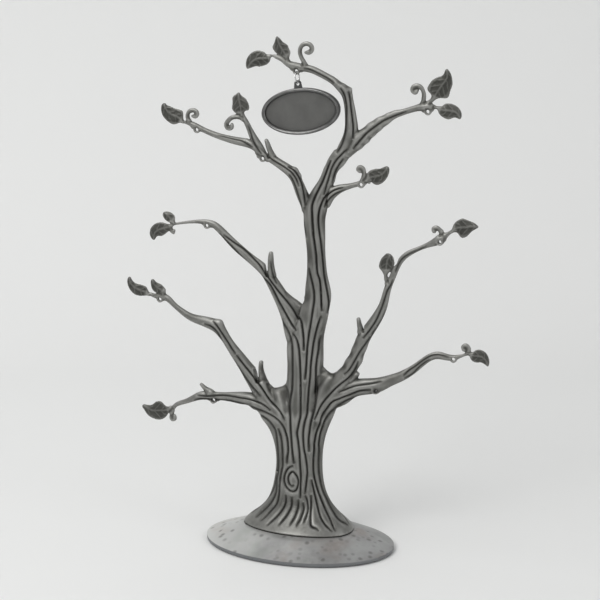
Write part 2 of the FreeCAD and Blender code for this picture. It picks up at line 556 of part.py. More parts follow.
def screw_places():
    """Middles of the two screws under the tree."""
    return [FreeCAD.Vector(side * screw_spacing / 2, 0, 0) for side in (-1, 1)]


def make_base():
    """Domed oval base with a recess for the felt and holes for the two screws."""
    reach = base_length / 2
    rim_top = base_bottom + base_rim_height
    curve_points = []
    for ring in range(base_dome_rings + 1):
        turn = math.pi / 2 * ring / base_dome_rings
        share = math.cos(turn)
        rise = base_dome_rise * (1 - share ** 2) ** base_dome_power
        curve_points.append(FreeCAD.Vector(reach * share, 0, rim_top + rise))
    curve = Part.BSplineCurve()
    curve.interpolate(Points=curve_points)
    edges = [
        Part.LineSegment(FreeCAD.Vector(0, 0, base_bottom), FreeCAD.Vector(reach, 0, base_bottom)).toShape(),
        Part.LineSegment(FreeCAD.Vector(reach, 0, base_bottom), curve_points[0]).toShape(),
        curve.toShape(),
        Part.LineSegment(curve_points[-1], FreeCAD.Vector(0, 0, base_bottom)).toShape(),
    ]
    profile = Part.Face(Part.Wire(edges))
    round_base = profile.revolve(FreeCAD.Vector(0, 0, 0), upward, 360)
    matrix = FreeCAD.Matrix()
    matrix.scale(1, base_width / base_length, 1)
    base = round_base.transformGeometry(matrix).Solids[0]
    recess = oval_plate(
        base_length - 2 * felt_edge_margin, base_width - 2 * felt_edge_margin,
        felt_thickness - felt_proud + overrun, base_bottom - overrun)
    base = base.cut(recess)
    recess_top = felt_thickness
    for place in screw_places():
        head_hole = Part.makeCylinder(
            screw_head_diameter / 2 + screw_hole_gap, screw_head_height + screw_hole_gap + overrun,
            place + upward * (recess_top - overrun))
        shank_hole = Part.makeCylinder(
            screw_diameter / 2 + screw_hole_gap, base_top, place)
        base = base.cut(head_hole).cut(shank_hole)
    return largest(base)


def make_felt():
    """Thin felt pad in the recess, a little proud of the base's underside."""
    return oval_plate(
        base_length - 2 * felt_edge_margin - 2 * felt_side_gap,
        base_width - 2 * felt_edge_margin - 2 * felt_side_gap,
        felt_thickness, 0)


def make_screws():
    """Two socket-head screws, pushed up through the base into the tree's foot."""
    screws = []
    for place in screw_places():
        head_bottom = felt_thickness + screw_hole_gap
        head = Part.makeCylinder(screw_head_diameter / 2, screw_head_height - screw_hole_gap,
                                 place + upward * head_bottom)
        shank = Part.makeCylinder(screw_diameter / 2, screw_length,
                                  place + upward * (head_bottom + screw_head_height - screw_hole_gap))
        socket_bottom = place + upward * (head_bottom - overrun)
        corners = []
        for corner in range(screw_socket_sides):
            turn = 2 * math.pi * corner / screw_socket_sides
            corners.append(socket_bottom + FreeCAD.Vector(math.cos(turn), math.sin(turn), 0)
                           * (screw_socket_width / 2))
        socket = Part.Face(Part.makePolygon(corners + [corners[0]]))
        socket_cut = socket.extrude(upward * (screw_socket_depth + overrun))
        screws.append(head.fuse(shank).cut(socket_cut).removeSplitter().Solids[0])
    return Part.makeCompound(screws)


def make_trunk(base):
    """Flared foot, waist and the fan below the boughs."""
    sections = []
    for left_px, right_px, depth_share in trunk_outline_px:
        left = tree_point(*left_px)
        right = tree_point(*right_px)
        half_width = half_width_for((right - left) / 2, depth_share)
        sections.append(((left + right) / 2, half_width, half_width.Length * depth_share))
    middle, half_width, half_depth = sections[0]
    root = FreeCAD.Vector(middle.x, middle.y, trunk_root_height)
    sections.insert(0, (root, FreeCAD.Vector(half_width.Length, 0, 0), half_depth))
    trunk = skinned(sections)
    for place in screw_places():
        hole = Part.makeCylinder(screw_diameter / 2, screw_length + overrun,
                                 place + upward * (felt_thickness + screw_head_height))
        trunk = trunk.cut(hole)
    return largest(trunk.cut(base))


def make_eyes(parts):
    """Hanging eyes: small rings of metal let into round sockets through the boughs."""
    for name, (place_px, thickness, carriers) in eye_places_px.items():
        middle = tree_point(*place_px)
        front = middle - to_back * (thickness / 2)
        socket = Part.makeCylinder(eye_outer_diameter / 2, tree_height,
                                   middle - to_back * (tree_height / 2), to_back)
        for carrier in carriers:
            parts[carrier] = largest(parts[carrier].cut(socket))
        disc = Part.makeCylinder(eye_outer_diameter / 2, thickness, front, to_back)
        bore = Part.makeCylinder(eye_bore / 2, thickness + 2 * overrun,
                                 front - to_back * overrun, to_back)
        parts[name] = disc.cut(bore)


def lean_about(shape, middle):
    """Turn a hanging piece about the crown eye, right side up, as it hangs in the photograph."""
    leaned = shape.copy()
    leaned.rotate(middle, to_back, -frame_lean_deg)
    return leaned


def make_ring(eye_middle):
    """Jump ring of round wire with a fine slit, hanging in the crown eye."""
    centre = eye_middle - upward * (ring_drop + ring_middle_diameter / 2)
    ring = Part.makeTorus(ring_middle_diameter / 2, ring_wire / 2, centre, FreeCAD.Vector(1, 0, 0))
    slit = Part.makeBox(2 * ring_wire, 2 * ring_wire, ring_slit,
                        centre + FreeCAD.Vector(-ring_wire, ring_middle_diameter / 2 - ring_wire,
                                                -ring_slit / 2))
    return ring.cut(slit).Solids[0]


def oval_edge(length, height, depth_place, centre):
    """Upright oval wire facing the front, at one depth."""
    ellipse = Part.Ellipse(FreeCAD.Vector(0, 0, 0), length / 2, height / 2)
    edge = ellipse.toShape()
    edge.rotate(FreeCAD.Vector(0, 0, 0), FreeCAD.Vector(1, 0, 0), 90)
    edge.translate(FreeCAD.Vector(centre.x, depth_place, centre.z))
    return Part.Wire([edge])


def oval_prism(length, height, front, depth, centre):
    """Upright oval solid from front to front + depth."""
    face = Part.Face(oval_edge(length, height, front, centre))
    return face.extrude(to_back * depth)


def frame_centres(eye_middle):
    """Middle of the tab's hole and middle of the oval, before the lean."""
    hole = eye_middle - upward * (2 * ring_drop + ring_middle_diameter)
    centre = hole - upward * (tab_neck + frame_height / 2)
    return hole, centre


def make_bezel(eye_middle):
    """Oval bezel with a rounded rim, a front lip and a hanging tab."""
    hole, centre = frame_centres(eye_middle)
    front = -frame_depth / 2
    bezel = oval_prism(frame_length, frame_height, front, frame_depth, centre)
    rounded_edges = [edge for edge in bezel.Edges
                     if edge.BoundBox.YLength < overrun and edge.Length > frame_length]
    bezel = bezel.makeFillet(frame_rim_round, rounded_edges)
    window = oval_prism(frame_length - 2 * frame_rim_width, frame_height - 2 * frame_rim_width,
                        front - overrun, frame_depth + 2 * overrun, centre)
    rabbet_width = frame_rim_width - frame_lip_width
    rabbet = oval_prism(frame_length - 2 * rabbet_width, frame_height - 2 * rabbet_width,
                        front + frame_lip_depth, frame_depth + overrun, centre)
    tab = Part.makeCylinder(tab_hole / 2 + tab_top_wall, tab_thickness,
                            hole - to_back * (tab_thickness / 2), to_back)
    neck_bottom = tab_neck + frame_rim_width / 2
    top_half = tab_hole / 2 + tab_top_wall
    corners = [
        hole + FreeCAD.Vector(-top_half, -tab_thickness / 2, 0),
        hole + FreeCAD.Vector(-tab_width / 2, -tab_thickness / 2, -neck_bottom),
        hole + FreeCAD.Vector(tab_width / 2, -tab_thickness / 2, -neck_bottom),
        hole + FreeCAD.Vector(top_half, -tab_thickness / 2, 0),
    ]
    neck = Part.Face(Part.makePolygon(corners + [corners[0]])).extrude(to_back * tab_thickness)
    tab_bore = Part.makeCylinder(tab_hole / 2, tab_thickness + 2 * overrun,
                                 hole - to_back * (tab_thickness / 2 + overrun), to_back)
    bezel = bezel.fuse([tab, neck]).cut(window).cut(rabbet).cut(tab_bore)
    return bezel.removeSplitter().Solids[0]


def make_backing(eye_middle):
    """Matte backing plate that the photo lies on, seated in the bezel's rabbet."""
    centre = frame_centres(eye_middle)[1]
    rabbet_width = frame_rim_width - frame_lip_width
    return oval_prism(frame_length - 2 * rabbet_width - 2 * backing_gap,
                      frame_height - 2 * rabbet_width - 2 * backing_gap,
                      -frame_depth / 2 + frame_lip_depth, backing_thickness, centre)


def make_grown(parts, lines_px, width_share, free_end, depth_limit=None):
    """Pieces that grow from limbs, each with its notch cut into the limb that carries it."""
    for name, (carrier, line_px) in lines_px.items():
        sections = limb_sections(line_px, tendril_depth_share, depth_limit)
        parts[carrier] = largest(parts[carrier].cut(seat_block(sections, width_share)))
        parts[name] = skinned(with_nose(sections) if free_end else sections)


def make_tree(parts):
    """All limbs, webs, spurs, leaves, tendrils and eyes."""
    parts["trunk"] = make_trunk(parts["base_plate"])
    for name, line_px in web_lines_px.items():
        parts[name] = parted(name, skinned(with_round_edge(limb_sections(line_px, tendril_depth_share))))
    for name, line_px in limb_lines_px.items():
        parts[name] = parted(name, skinned(limb_sections(line_px, limb_depth_share[name])))
    make_grown(parts, spur_lines_px, side_seat_share, True)
    make_grown(parts, end_leaf_lines_px, end_seat_share, False, leaf_thickness)
    make_grown(parts, side_leaf_lines_px, side_seat_share, False, leaf_thickness)
    make_grown(parts, tendril_lines_px, side_seat_share, True)
    make_eyes(parts)


def build():
    """Every piece by its name."""
    parts = {}
    parts["base_plate"] = make_base()
    parts["felt_pad"] = make_felt()
    parts["tree_screws"] = make_screws()
    make_tree(parts)
    eye_middle = tree_point(*eye_places_px["crown_eye"][0])
    parts["jump_ring"] = lean_about(make_ring(eye_middle), eye_middle)
    parts["oval_frame"] = lean_about(make_bezel(eye_middle), eye_middle)
    parts["backing_plate"] = lean_about(make_backing(eye_middle), eye_middle)
    return parts


os.makedirs("parts", exist_ok=True)
for node, shape in build().items():
    shape.exportStep(os.path.join("parts", node + ".step"))
    print(node, "solids", len(shape.Solids), "volume", round(shape.Volume, 2), "valid", shape.isValid())
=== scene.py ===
import json
import math

import bmesh
import bpy
import numpy as np
from mathutils import Matrix, Vector
from mathutils.kdtree import KDTree


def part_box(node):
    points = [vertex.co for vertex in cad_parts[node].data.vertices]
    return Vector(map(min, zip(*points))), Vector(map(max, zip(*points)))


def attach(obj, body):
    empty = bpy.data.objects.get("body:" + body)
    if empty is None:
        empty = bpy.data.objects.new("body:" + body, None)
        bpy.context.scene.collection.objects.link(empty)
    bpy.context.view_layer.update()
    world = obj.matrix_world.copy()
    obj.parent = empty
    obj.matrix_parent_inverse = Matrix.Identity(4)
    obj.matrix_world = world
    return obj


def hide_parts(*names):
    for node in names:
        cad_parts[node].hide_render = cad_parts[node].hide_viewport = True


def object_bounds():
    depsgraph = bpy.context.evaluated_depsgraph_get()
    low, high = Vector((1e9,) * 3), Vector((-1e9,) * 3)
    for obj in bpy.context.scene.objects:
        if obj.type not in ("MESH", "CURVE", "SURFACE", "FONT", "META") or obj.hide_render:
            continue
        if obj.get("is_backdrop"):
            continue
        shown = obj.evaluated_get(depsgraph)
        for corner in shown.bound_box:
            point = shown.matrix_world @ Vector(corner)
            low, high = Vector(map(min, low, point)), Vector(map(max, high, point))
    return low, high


# The looks of a table-top photo tree: one metal skin over the cast tree, a mottled domed base,
# a bright jump ring and a small oval frame. Metres, Z up, the front faces -Y.

MM = 0.001

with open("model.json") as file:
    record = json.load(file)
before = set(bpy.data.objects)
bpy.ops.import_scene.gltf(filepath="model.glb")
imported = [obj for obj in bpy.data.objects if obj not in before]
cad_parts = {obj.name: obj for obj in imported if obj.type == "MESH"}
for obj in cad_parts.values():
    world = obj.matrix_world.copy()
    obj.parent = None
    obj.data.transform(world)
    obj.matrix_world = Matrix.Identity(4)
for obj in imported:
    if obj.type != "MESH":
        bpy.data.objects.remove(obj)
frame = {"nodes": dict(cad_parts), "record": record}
low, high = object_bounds()

# The photograph's camera.
view_azimuth = math.radians(20.0)
view_pitch = math.radians(12.4)
view_distance = 900.0 * MM
view_aim_height = 135.8 * MM
view_aim_side = 0.22 * MM
focal_px = 1698.0
picture_px = 600.0
sensor_mm = 36.0
near_clip = 0.05
far_clip = 20.0

back = Vector((math.sin(view_azimuth) * math.cos(view_pitch),
               -math.cos(view_azimuth) * math.cos(view_pitch), math.sin(view_pitch)))
right = Vector((math.cos(view_azimuth), math.sin(view_azimuth), 0.0))
up = back.cross(right)
aim = Vector((0.0, 0.0, view_aim_height)) + right * view_aim_side
eye_point = aim + back * view_distance
px_in_mm = view_distance / focal_px / MM


def seen_px(points):
    """Pixel across and down at which each point shows in the photograph."""
    away = points - np.array(eye_point)
    reach = -(away @ np.array(back))
    across = picture_px / 2 + focal_px * (away @ np.array(right)) / reach
    down = picture_px / 2 - focal_px * (away @ np.array(up)) / reach
    return np.stack([across, down], axis=1)


def folded_px(points):
    """Pixels of the points with the back half folded to the front."""
    front = points.copy()
    front[:, 1] = -np.abs(front[:, 1])
    return seen_px(front)


def plane_point(across, down):
    """The place on the tree's middle plane behind one pixel."""
    ray = right * ((across - picture_px / 2) / focal_px) - up * ((down - picture_px / 2) / focal_px) - back
    return eye_point + ray * (-eye_point.y / ray.y)


# Bark grooves as traced lines: strength, then pixel across and down along each line.
groove_lines = [
    # trunk and foot
    (1, [(193.5, 400.3), (200.3, 398.9), (209.4, 399.2), (219.6, 400.1), (227.5, 400.5), (236.6, 402.3),
     (246.8, 405.1), (255.9, 408.8), (263.8, 411.9), (272.9, 416.7), (279.7, 422.4), (284.2, 429.2),
     (287, 438.8), (287.9, 450), (287, 458), (286.8, 464)]),
    (0.9, [(243.4, 406.2), (250.2, 410.5), (258.1, 414.1), (266.1, 419), (271.7, 424.7), (275.1, 430.9),
     (276.6, 440), (277.6, 450), (278.2, 460), (278, 468), (277.2, 475), (276.5, 481.4), (275.8, 491.7),
     (272.1, 500.5), (266.2, 507.8), (258.9, 514.4)]),
    (0.9, [(278, 428), (280.8, 438), (282.1, 450), (282.3, 463.8), (281.4, 470), (280.2, 477),
     (279.2, 484.4), (278.7, 494.6), (276.5, 503.4), (270.6, 510.8), (263.3, 518.1)]),
    (1, [(196.9, 395.2), (204.8, 396.1), (211.6, 396.1), (220.7, 395.4), (229.8, 396.1), (238.8, 397.8),
     (247.9, 399.2), (254.7, 401.2), (261.5, 404.3), (270.6, 410.5)]),
    (1.1, [(236, 354.4), (240.5, 360.6), (246.8, 368.5), (252.4, 375.4), (257, 381.6), (262.7, 389.5),
     (268.3, 398), (275.1, 406), (280.8, 413.3), (284.4, 420)]),
    (1, [(212.6, 320.4), (217.6, 326.7), (222.7, 334.3), (227.8, 341.9), (232, 349), (236, 354.6)]),
    (1, [(203.7, 323.5), (211.3, 326.7), (217.6, 333), (222.7, 343), (228.6, 354.4), (235.4, 362.9),
     (241.7, 372.5), (247.9, 381.6), (253.6, 389), (260.4, 396.3)]),
    (0.8, [(224.1, 349), (230.9, 359.2), (237.7, 370), (242.2, 378), (247.9, 386.4), (251.9, 391.8)]),
    (1, [(294.1, 464), (293.4, 461), (291.9, 450), (291.2, 440.4), (290.4, 428.7), (289.9, 415),
     (289.2, 405.2), (290.3, 396.9), (291.7, 388.6), (292.2, 376.2), (292.2, 363.8), (292, 351.3),
     (291.4, 343), (289.9, 336.4), (287, 329.8), (283.7, 324), (281.6, 318)]),
    (1, [(300.3, 499), (300.3, 487.3), (300.7, 475.6), (300, 465.3), (299.2, 452), (297.8, 440.4),
     (297, 433), (298.5, 424.3), (300.3, 415), (300.5, 401), (300.5, 384.5), (300, 368), (299.4, 357),
     (298.6, 348), (297, 341.4), (294.5, 336.4), (292, 332.7)]),
    (1, [(305.1, 494.6), (305.8, 487.3), (307.3, 472.6), (305.8, 458), (304.1, 450), (303.2, 440),
     (303.2, 431.6), (304.4, 422.8), (307, 413), (308.1, 401), (309, 388.6), (310.2, 376.2), (311, 363.8),
     (312.3, 353.8), (313.5, 344.7), (315.2, 336.4), (317.3, 328), (319.8, 319.8), (321.2, 316)]),
    (1, [(309.1, 452), (308.8, 440), (309.5, 431.6), (311, 421.3), (313.4, 411), (315.2, 401),
     (316.4, 388.6), (316.4, 376.2), (316.4, 367.9), (317.3, 359.6), (318.9, 349.7), (319.8, 341.4),
     (321.4, 334.8)]),
    (1.1, [(333.7, 526.9), (330.8, 519.6), (326.4, 510.8), (322, 500.5), (317.6, 488.8), (314.3, 475.6),
     (313.5, 463.8), (314.3, 450), (314.6, 443.3), (316.4, 433), (319.8, 424.3), (322.7, 415.5),
     (327.1, 408.4), (332, 402.4), (339.2, 399.1), (348.8, 395.5), (359.6, 391.3), (371.6, 390.1)]),
    (1, [(345.4, 523.2), (338.1, 518.1), (331.5, 507.8), (327.1, 499), (322.7, 488.8), (319.8, 475.6),
     (319, 463.8), (319.4, 450), (319.3, 443.3), (320.5, 434.5), (322.7, 427.2), (326.4, 418.4),
     (332, 411.1), (339.2, 405.1), (348.8, 399.7), (359.6, 396.1)]),
    # knot
    (0.9, [(293.6, 466), (292, 466.2), (288, 468.5), (285, 473.5), (284, 480), (286, 487), (291, 491.5),
     (296, 490), (298.3, 483), (297, 477), (293, 472.5), (290, 473.5), (288, 478), (289, 483.5),
     (291.5, 486), (294, 484.6)]),
    # foot
    (0.9, [(286, 494.6), (285.3, 503.4), (280.9, 511.5), (275, 518.1), (269.2, 523.2)]),
    (0.9, [(291.9, 496.1), (291.2, 506.4), (286.8, 515.2), (280.9, 522.5)]),
    (0.8, [(298.5, 499), (297.8, 507.8), (294.8, 516.6), (291.2, 523)]),
    (0.8, [(302.9, 502), (303.6, 509.3), (300.7, 518.1), (298, 523.5)]),
    (0.9, [(305.1, 494.6), (307.3, 502), (308, 510.8), (305, 519.6)]),
    (1, [(311, 494.6), (311, 504.9), (310.2, 516.6), (311, 525.4), (316.1, 528.4)]),
    (1, [(311.4, 479), (314.6, 493.2), (317.6, 506.4), (320.5, 516.6), (324.9, 524), (329.3, 528.4)]),
    (0.8, [(276.8, 472), (274.6, 485), (270, 495), (262, 503.5), (254, 510.5)]),
    (0.8, [(325, 484), (329, 494), (335, 504), (342, 512), (349, 519)]),
    # right low bough and right web
    (1, [(314, 420), (320, 407.5), (324.8, 400.3), (332, 391.9), (339.2, 385.3), (346.4, 380),
     (351.8, 374.6), (356, 368), (358.4, 361)]),
    (0.9, [(338, 393), (344, 390.1), (353.6, 386.5), (363.2, 384.7), (371.6, 383.5), (382, 381.4)]),
    (0.9, [(402.7, 376.4), (408.7, 370.4), (415.9, 365.6), (423.1, 360.2), (430.3, 356), (437.5, 354.8),
     (444.7, 356), (449.5, 357.8)]),
    (0.8, [(403.9, 378.8), (412.3, 374), (419.5, 366.8), (425.5, 362), (431.5, 359)]),
    # right mid bough
    (0.9, [(344, 374.5), (348.8, 370.4), (354.8, 360.8), (359.6, 352.4), (365.6, 344), (371.6, 335.6),
     (376.4, 327.2)]),
    (1, [(362.7, 338.7), (369.3, 330.7), (374.7, 322.7), (378.7, 314.7), (382, 306.7), (384.7, 298.7),
     (387.3, 290.7), (390.7, 285.3), (393.3, 278.7)]),
    (0.8, [(370.7, 336), (377.3, 326.7), (382.7, 318), (386, 309)]),
    (0.8, [(395, 273), (399.3, 262.7), (404, 257.3), (410.7, 253.3), (419, 249.8), (428, 245.6)]),
    # left high bough
    (1.1, [(296.1, 331.4), (293.6, 327.3), (289.9, 321.5), (286.6, 315.7), (282.4, 308.2), (278.3, 300.8),
     (270.9, 286.2), (263.3, 278), (254.4, 270), (248.1, 263.4), (240.5, 255.8), (232.9, 247.6),
     (225.3, 240), (218.9, 232.6)]),
    (1.1, [(304, 351.3), (303.6, 344.7), (303.2, 336.4), (301.9, 326.5), (300.7, 321.5), (297.4, 315.7),
     (293.2, 309), (288.2, 302.4), (283.3, 296.6), (278.3, 291), (271.2, 281.8), (265.2, 273.2),
     (259.5, 264.8), (253.6, 258), (244.3, 249), (232.9, 241.6), (222.7, 234.3)]),
    (0.7, [(277, 284), (273.5, 276), (271.5, 268), (270.6, 260)]),
    # main stem
    (1, [(304.8, 380.4), (305.7, 372), (306.5, 359.6), (307.3, 347.2), (308.6, 336.4), (310.2, 326.5),
     (311.5, 318.2), (312.7, 309.9), (313.9, 301.6), (313.9, 293.3), (312.9, 286.7), (311.5, 280.8),
     (310, 274.5), (309, 267)]),
    (1.3, [(321.8, 311.5), (321.4, 303.2), (321, 295), (320.4, 286.7), (319.5, 279.7), (317.3, 272.8),
     (316.5, 264), (316, 255.5), (314.7, 245.2), (313.4, 236.3), (312.6, 227), (312, 216.7), (311.7, 208),
     (312.6, 202.9), (315.2, 196), (318.6, 189), (322, 182.2), (325.5, 173.6), (328, 166.7),
     (331, 159.5)]),
    (1.3, [(327.6, 314), (329, 305), (328.5, 297.4), (327.2, 290), (325.5, 281.4), (324.2, 272.8),
     (323.4, 264), (322.1, 251.2), (320.8, 240.9), (319.5, 232.2), (318.6, 223.6), (318.6, 216.7),
     (319.5, 209.8), (321.6, 203.8), (324.7, 197.8), (329, 193.4), (335, 190), (343.6, 187.4)]),
    (0.9, [(324.2, 208), (326.4, 203), (330.7, 197.8), (336.7, 193.4), (345.3, 189.6)]),
    (0.8, [(306.1, 238.3), (304.4, 227), (302.7, 216.7), (301.4, 209.8), (300.5, 203.8), (297.9, 195.2),
     (295.3, 186.6), (291.9, 178.8), (288.4, 173.6)]),
    (1, [(324.2, 195.4), (326.4, 185.7), (329, 177), (331.6, 168.3), (336, 160.5), (342, 154),
     (348, 148.5)]),
    (1.1, [(332, 184), (333.7, 178), (335.9, 171), (339.4, 164.5), (344, 158)]),
    # left top bough
    (1.2, [(305.3, 206), (304.4, 197.8), (303.1, 189), (301.4, 182.2), (297.9, 175.3), (293.6, 169.8),
     (287, 166)]),
    (0.9, [(309.6, 194.4), (307.4, 187.4), (304.8, 181.4), (301.8, 174.5)]),
    (0.9, [(299, 187), (296.4, 179.3), (291.6, 172.6), (286, 168.4), (279, 164), (272.6, 160),
     (266, 155)]),
    (0.8, [(262.1, 154.9), (258.8, 150.5), (255, 144.5), (252.3, 138.7), (250.6, 132.3), (247.6, 123.8)]),
    (0.8, [(253, 147.6), (248.1, 144.6), (241.7, 141.2), (233.2, 139.1), (224.6, 137), (216, 134.8)]),
    # crown
    (1, [(336, 153.5), (340, 147.4), (343.3, 139.4), (345.3, 130.7), (346, 120), (346.4, 109.3),
     (345.4, 100), (343.4, 93.3), (339.7, 87.2)]),
    (1.3, [(352.7, 139.5), (353.3, 128), (352.2, 117.3), (350.9, 106.7), (350, 98.7), (348.6, 90.7)]),
    (0.9, [(352.7, 149.3), (359.3, 141.3), (366, 133.9), (372.7, 128.4), (383.3, 121), (392.7, 116.6),
     (400.7, 113.6), (408, 111)]),
    (0.8, [(334.7, 83.6), (327, 78), (318, 73.2), (310, 69.6), (303, 68.2)]),
]
groove_step_px = 0.45
groove_fade_px = 7.0
groove_fade_power = 0.6
groove_reach_px = 8.0
groove_width_px = 0.82
groove_depth_least = 0.05 * MM
groove_depth_share = 0.16
groove_depth_most = 0.62 * MM
valley_width_share = 2.6
valley_depth_share = 0.50
ridge_px = 2.7
ridge_width_px = 0.9
foot_line_px = 505.0
foot_run_on_px = 4.0
curve_shares = (0.0, 0.25, 0.5, 0.75)

# Painted shade in deep corners, and darker patches over the stem: pixel across and down, radius in pixels,
# strength.
shade_places = [
    (283, 392, 9, 0.25), (323, 386, 9, 0.25), (331, 373.5, 5, 0.35), (303, 318, 6, 0.35),
    (309.5, 196, 6, 0.45), (327, 214, 5, 0.35), (357, 378, 4, 0.4), (247, 391, 4, 0.4), (349, 140, 4, 0.3),
    (265, 378, 3, 0.3), (275, 275, 3, 0.3), (376.4, 390.7, 2.2, 0.8), (213.9, 399.8, 2.2, 0.8),
    (304, 225, 16, 0.22), (306, 255, 16, 0.22), (307, 285, 16, 0.20),
]

# Leaves: pixel across and down along the middle line, and the blade's width in pixels.
leaf_lines = [
    [(268.2, 57.2, 7.8), (266.2, 58.2, 12.2), (262.6, 58.6, 15.4), (258.3, 58.6, 16.9),
     (254.6, 59.8, 15.6), (251.6, 62, 12.6), (249.4, 64.8, 8.8), (248, 67.2, 4.6), (247.2, 68.8, 1.5)],
    [(180.4, 119.4, 9), (177.3, 117.2, 13.8), (171.8, 115, 16), (167.8, 111.8, 14.4), (165.4, 108.4, 10.8),
     (164.3, 105.6, 6.6), (164.7, 103, 1.8)],
    [(240.9, 111.6, 11.4), (240.5, 109.6, 17), (240.4, 106.2, 18.8), (239.4, 102, 15.6), (238.5, 98, 10.4),
     (238.5, 95, 5.6), (239, 92.4, 1.5)],
    [(369.6, 178.2, 8.8), (372, 177.3, 12.6), (375, 176.7, 15.2), (379, 175.8, 15.6), (383.2, 173.2, 12.4),
     (386.2, 169.6, 8.2), (387.9, 166.6, 2.8)],
    [(169.4, 226.7, 5.8), (165.8, 227.7, 10.4), (161.8, 228.7, 13.8), (157.9, 230, 14.2), (155, 232.4, 12),
     (153.8, 235.2, 8.8), (153.7, 238, 4.8), (154.2, 239.9, 1.6)],
    [(146, 292.8, 7.2), (143.2, 291.4, 10.6), (138, 289.6, 12.4), (133.6, 287, 10.2), (130.8, 283.4, 7.4),
     (129.5, 279.4, 4.8), (129.6, 276.6, 1.6)],
    [(167.4, 409.4, 7.2), (164.2, 410.4, 15), (160, 410.4, 19.4), (156, 410.4, 18.4), (152, 410.4, 14.4),
     (148.2, 408.8, 9.6), (145.2, 406.6, 5.6), (142.9, 404.7, 2)],
    [(455.2, 228.8, 8.6), (458.6, 227.8, 15.2), (462.2, 227.7, 19), (466.2, 227.5, 17.4),
     (470.2, 226.7, 12.2), (474.2, 226.6, 7.6), (477, 227, 3.8), (478.5, 227.3, 1.4)],
    [(472.2, 355.2, 8.6), (474.4, 356, 12.2), (477.6, 356.1, 13.8), (481.7, 357, 13.2),
     (484.8, 359.5, 10.2), (486.6, 362.4, 7), (487.6, 365, 3.6), (487.4, 366.6, 1.5)],
    [(285.4, 55.2, 7.2), (284, 52.4, 10.6), (282, 49.4, 15.4), (280, 46, 13.2), (278.4, 42, 8.2),
     (277.4, 39, 4.6), (276.9, 36.8, 1.5)],
    [(434.8, 96.4, 8.6), (436.2, 93.6, 17), (438.8, 89.7, 22.2), (442, 85, 21), (445.2, 81, 16.4),
     (447, 77.2, 11.4), (447.3, 73.4, 7.4), (446.8, 70.6, 4.2), (446.5, 68.7, 1.4)],
    [(440.2, 109.4, 8), (443, 110.5, 13.2), (447, 110.7, 15.8), (451.2, 110.9, 15), (455, 112, 12.6),
     (457.8, 114.2, 9.6), (459.4, 116.8, 6), (460.2, 119.2, 2)],
    [(171.2, 219.8, 7.6), (168.8, 216.8, 10.2), (166, 213.9, 7.2), (164, 212.2, 2.2)],
    [(162, 291.2, 7.4), (159.8, 289.2, 10), (156.6, 287.2, 10.6), (153.9, 284.1, 7.6), (152.8, 281, 4.6),
     (152.8, 278.9, 1.6)],
    [(386.1, 269.6, 10.8), (386.4, 265, 14), (387.2, 260.6, 13.4), (389, 257.1, 10), (391, 254.9, 4)],
]
leaf_recess = 0.27 * MM
leaf_recess_most = 0.5
leaf_edge_share = 1.15
leaf_rim_share = 0.87
leaf_rim_soft = 0.14
leaf_half_least_px = 0.4
leaf_rib_px = 0.9
leaf_rib_share = 0.5
leaf_vein_px = 0.70
leaf_vein_share = 0.4
leaf_vein_depth = 0.65
leaf_vein_gap_px = 6.8
leaf_vein_slope = 0.9
leaf_root_px = 2.0

# Small fillings at the roots of spurs, leaves and tendrils: pixel place, radius and, where it
# isn't the usual share of the radius, depth from front to back in pixels.
root_places = [
    (272.4, 156.6, 4.2), (272, 275, 4.9), (263, 379.6, 4.8), (210.4, 392.6, 4.6), (361.2, 332, 4.4),
    (270.2, 55.9, 2), (183, 121.8, 2), (242.2, 114.6, 2.6), (366.6, 180.4, 2.4), (172.4, 225, 1.8),
    (149, 294.2, 2.2), (170.6, 407.6, 2.4), (451, 232, 2), (469.6, 354, 2.1), (287.5, 61, 2.8),
    (428.9, 103, 2.8), (432.6, 107, 2.1), (174.4, 223.4, 1.7), (163.4, 294, 2.8), (387.1, 283.4, 2.8),
    (304.9, 64.9, 3.2), (189.3, 121.8, 2.8), (242.8, 119.2, 2.6), (422.8, 103.5, 3), (362.1, 180, 2.4),
    (171.4, 227.4, 1.6), (174.6, 407.2, 1.9), (441.8, 236.2, 2.6), (467.8, 353.2, 1.9), (306.8, 214.5, 4),
    (307.8, 220.5, 3.2), (291, 392, 4), (319, 392, 5), (266.5, 383.5, 3.2), (270, 387, 3.4),
    (275, 390, 3.2), (281, 390, 3.2), (286.5, 386, 3), (288.5, 382, 2.8), (323.5, 370, 3.2),
    (327, 373.5, 3.6), (331.5, 376.5, 3.8), (336, 375, 3.8), (339.5, 371, 3.4), (347.4, 91.4, 5),
    (349.6, 96, 4), (293.8, 172, 6), (297.6, 176, 4.6), (170.4, 228.6, 1.7), (171.4, 231.4, 1.8),
    (173.4, 232.2, 1.8), (174.3, 230.4, 1.6), (192.6, 126.8, 2.2), (201.6, 130.2, 1.9),
    (258.6, 156.2, 2.4), (267.4, 160.4, 2), (257, 152.6, 2.4), (423.6, 110.8, 2), (432.2, 109.8, 2),
    (357, 184, 1.9), (365.2, 183.4, 1.9), (369.2, 182.6, 1.6), (203.2, 223.6, 1.8), (211.4, 226.2, 2),
    (444.8, 240.4, 2.2), (436.2, 243.4, 2.2), (291.8, 68.6, 2.3), (301.4, 70.2, 2.4),
    (371.6, 391, 2.6, 4.6), (381.4, 389.2, 2.4, 4), (209.6, 399, 2.2, 2.8), (218.2, 399.4, 2.2, 2.8),
    (163.8, 299.2, 2), (156.8, 297, 1.8),
]
root_depth_share = 0.82

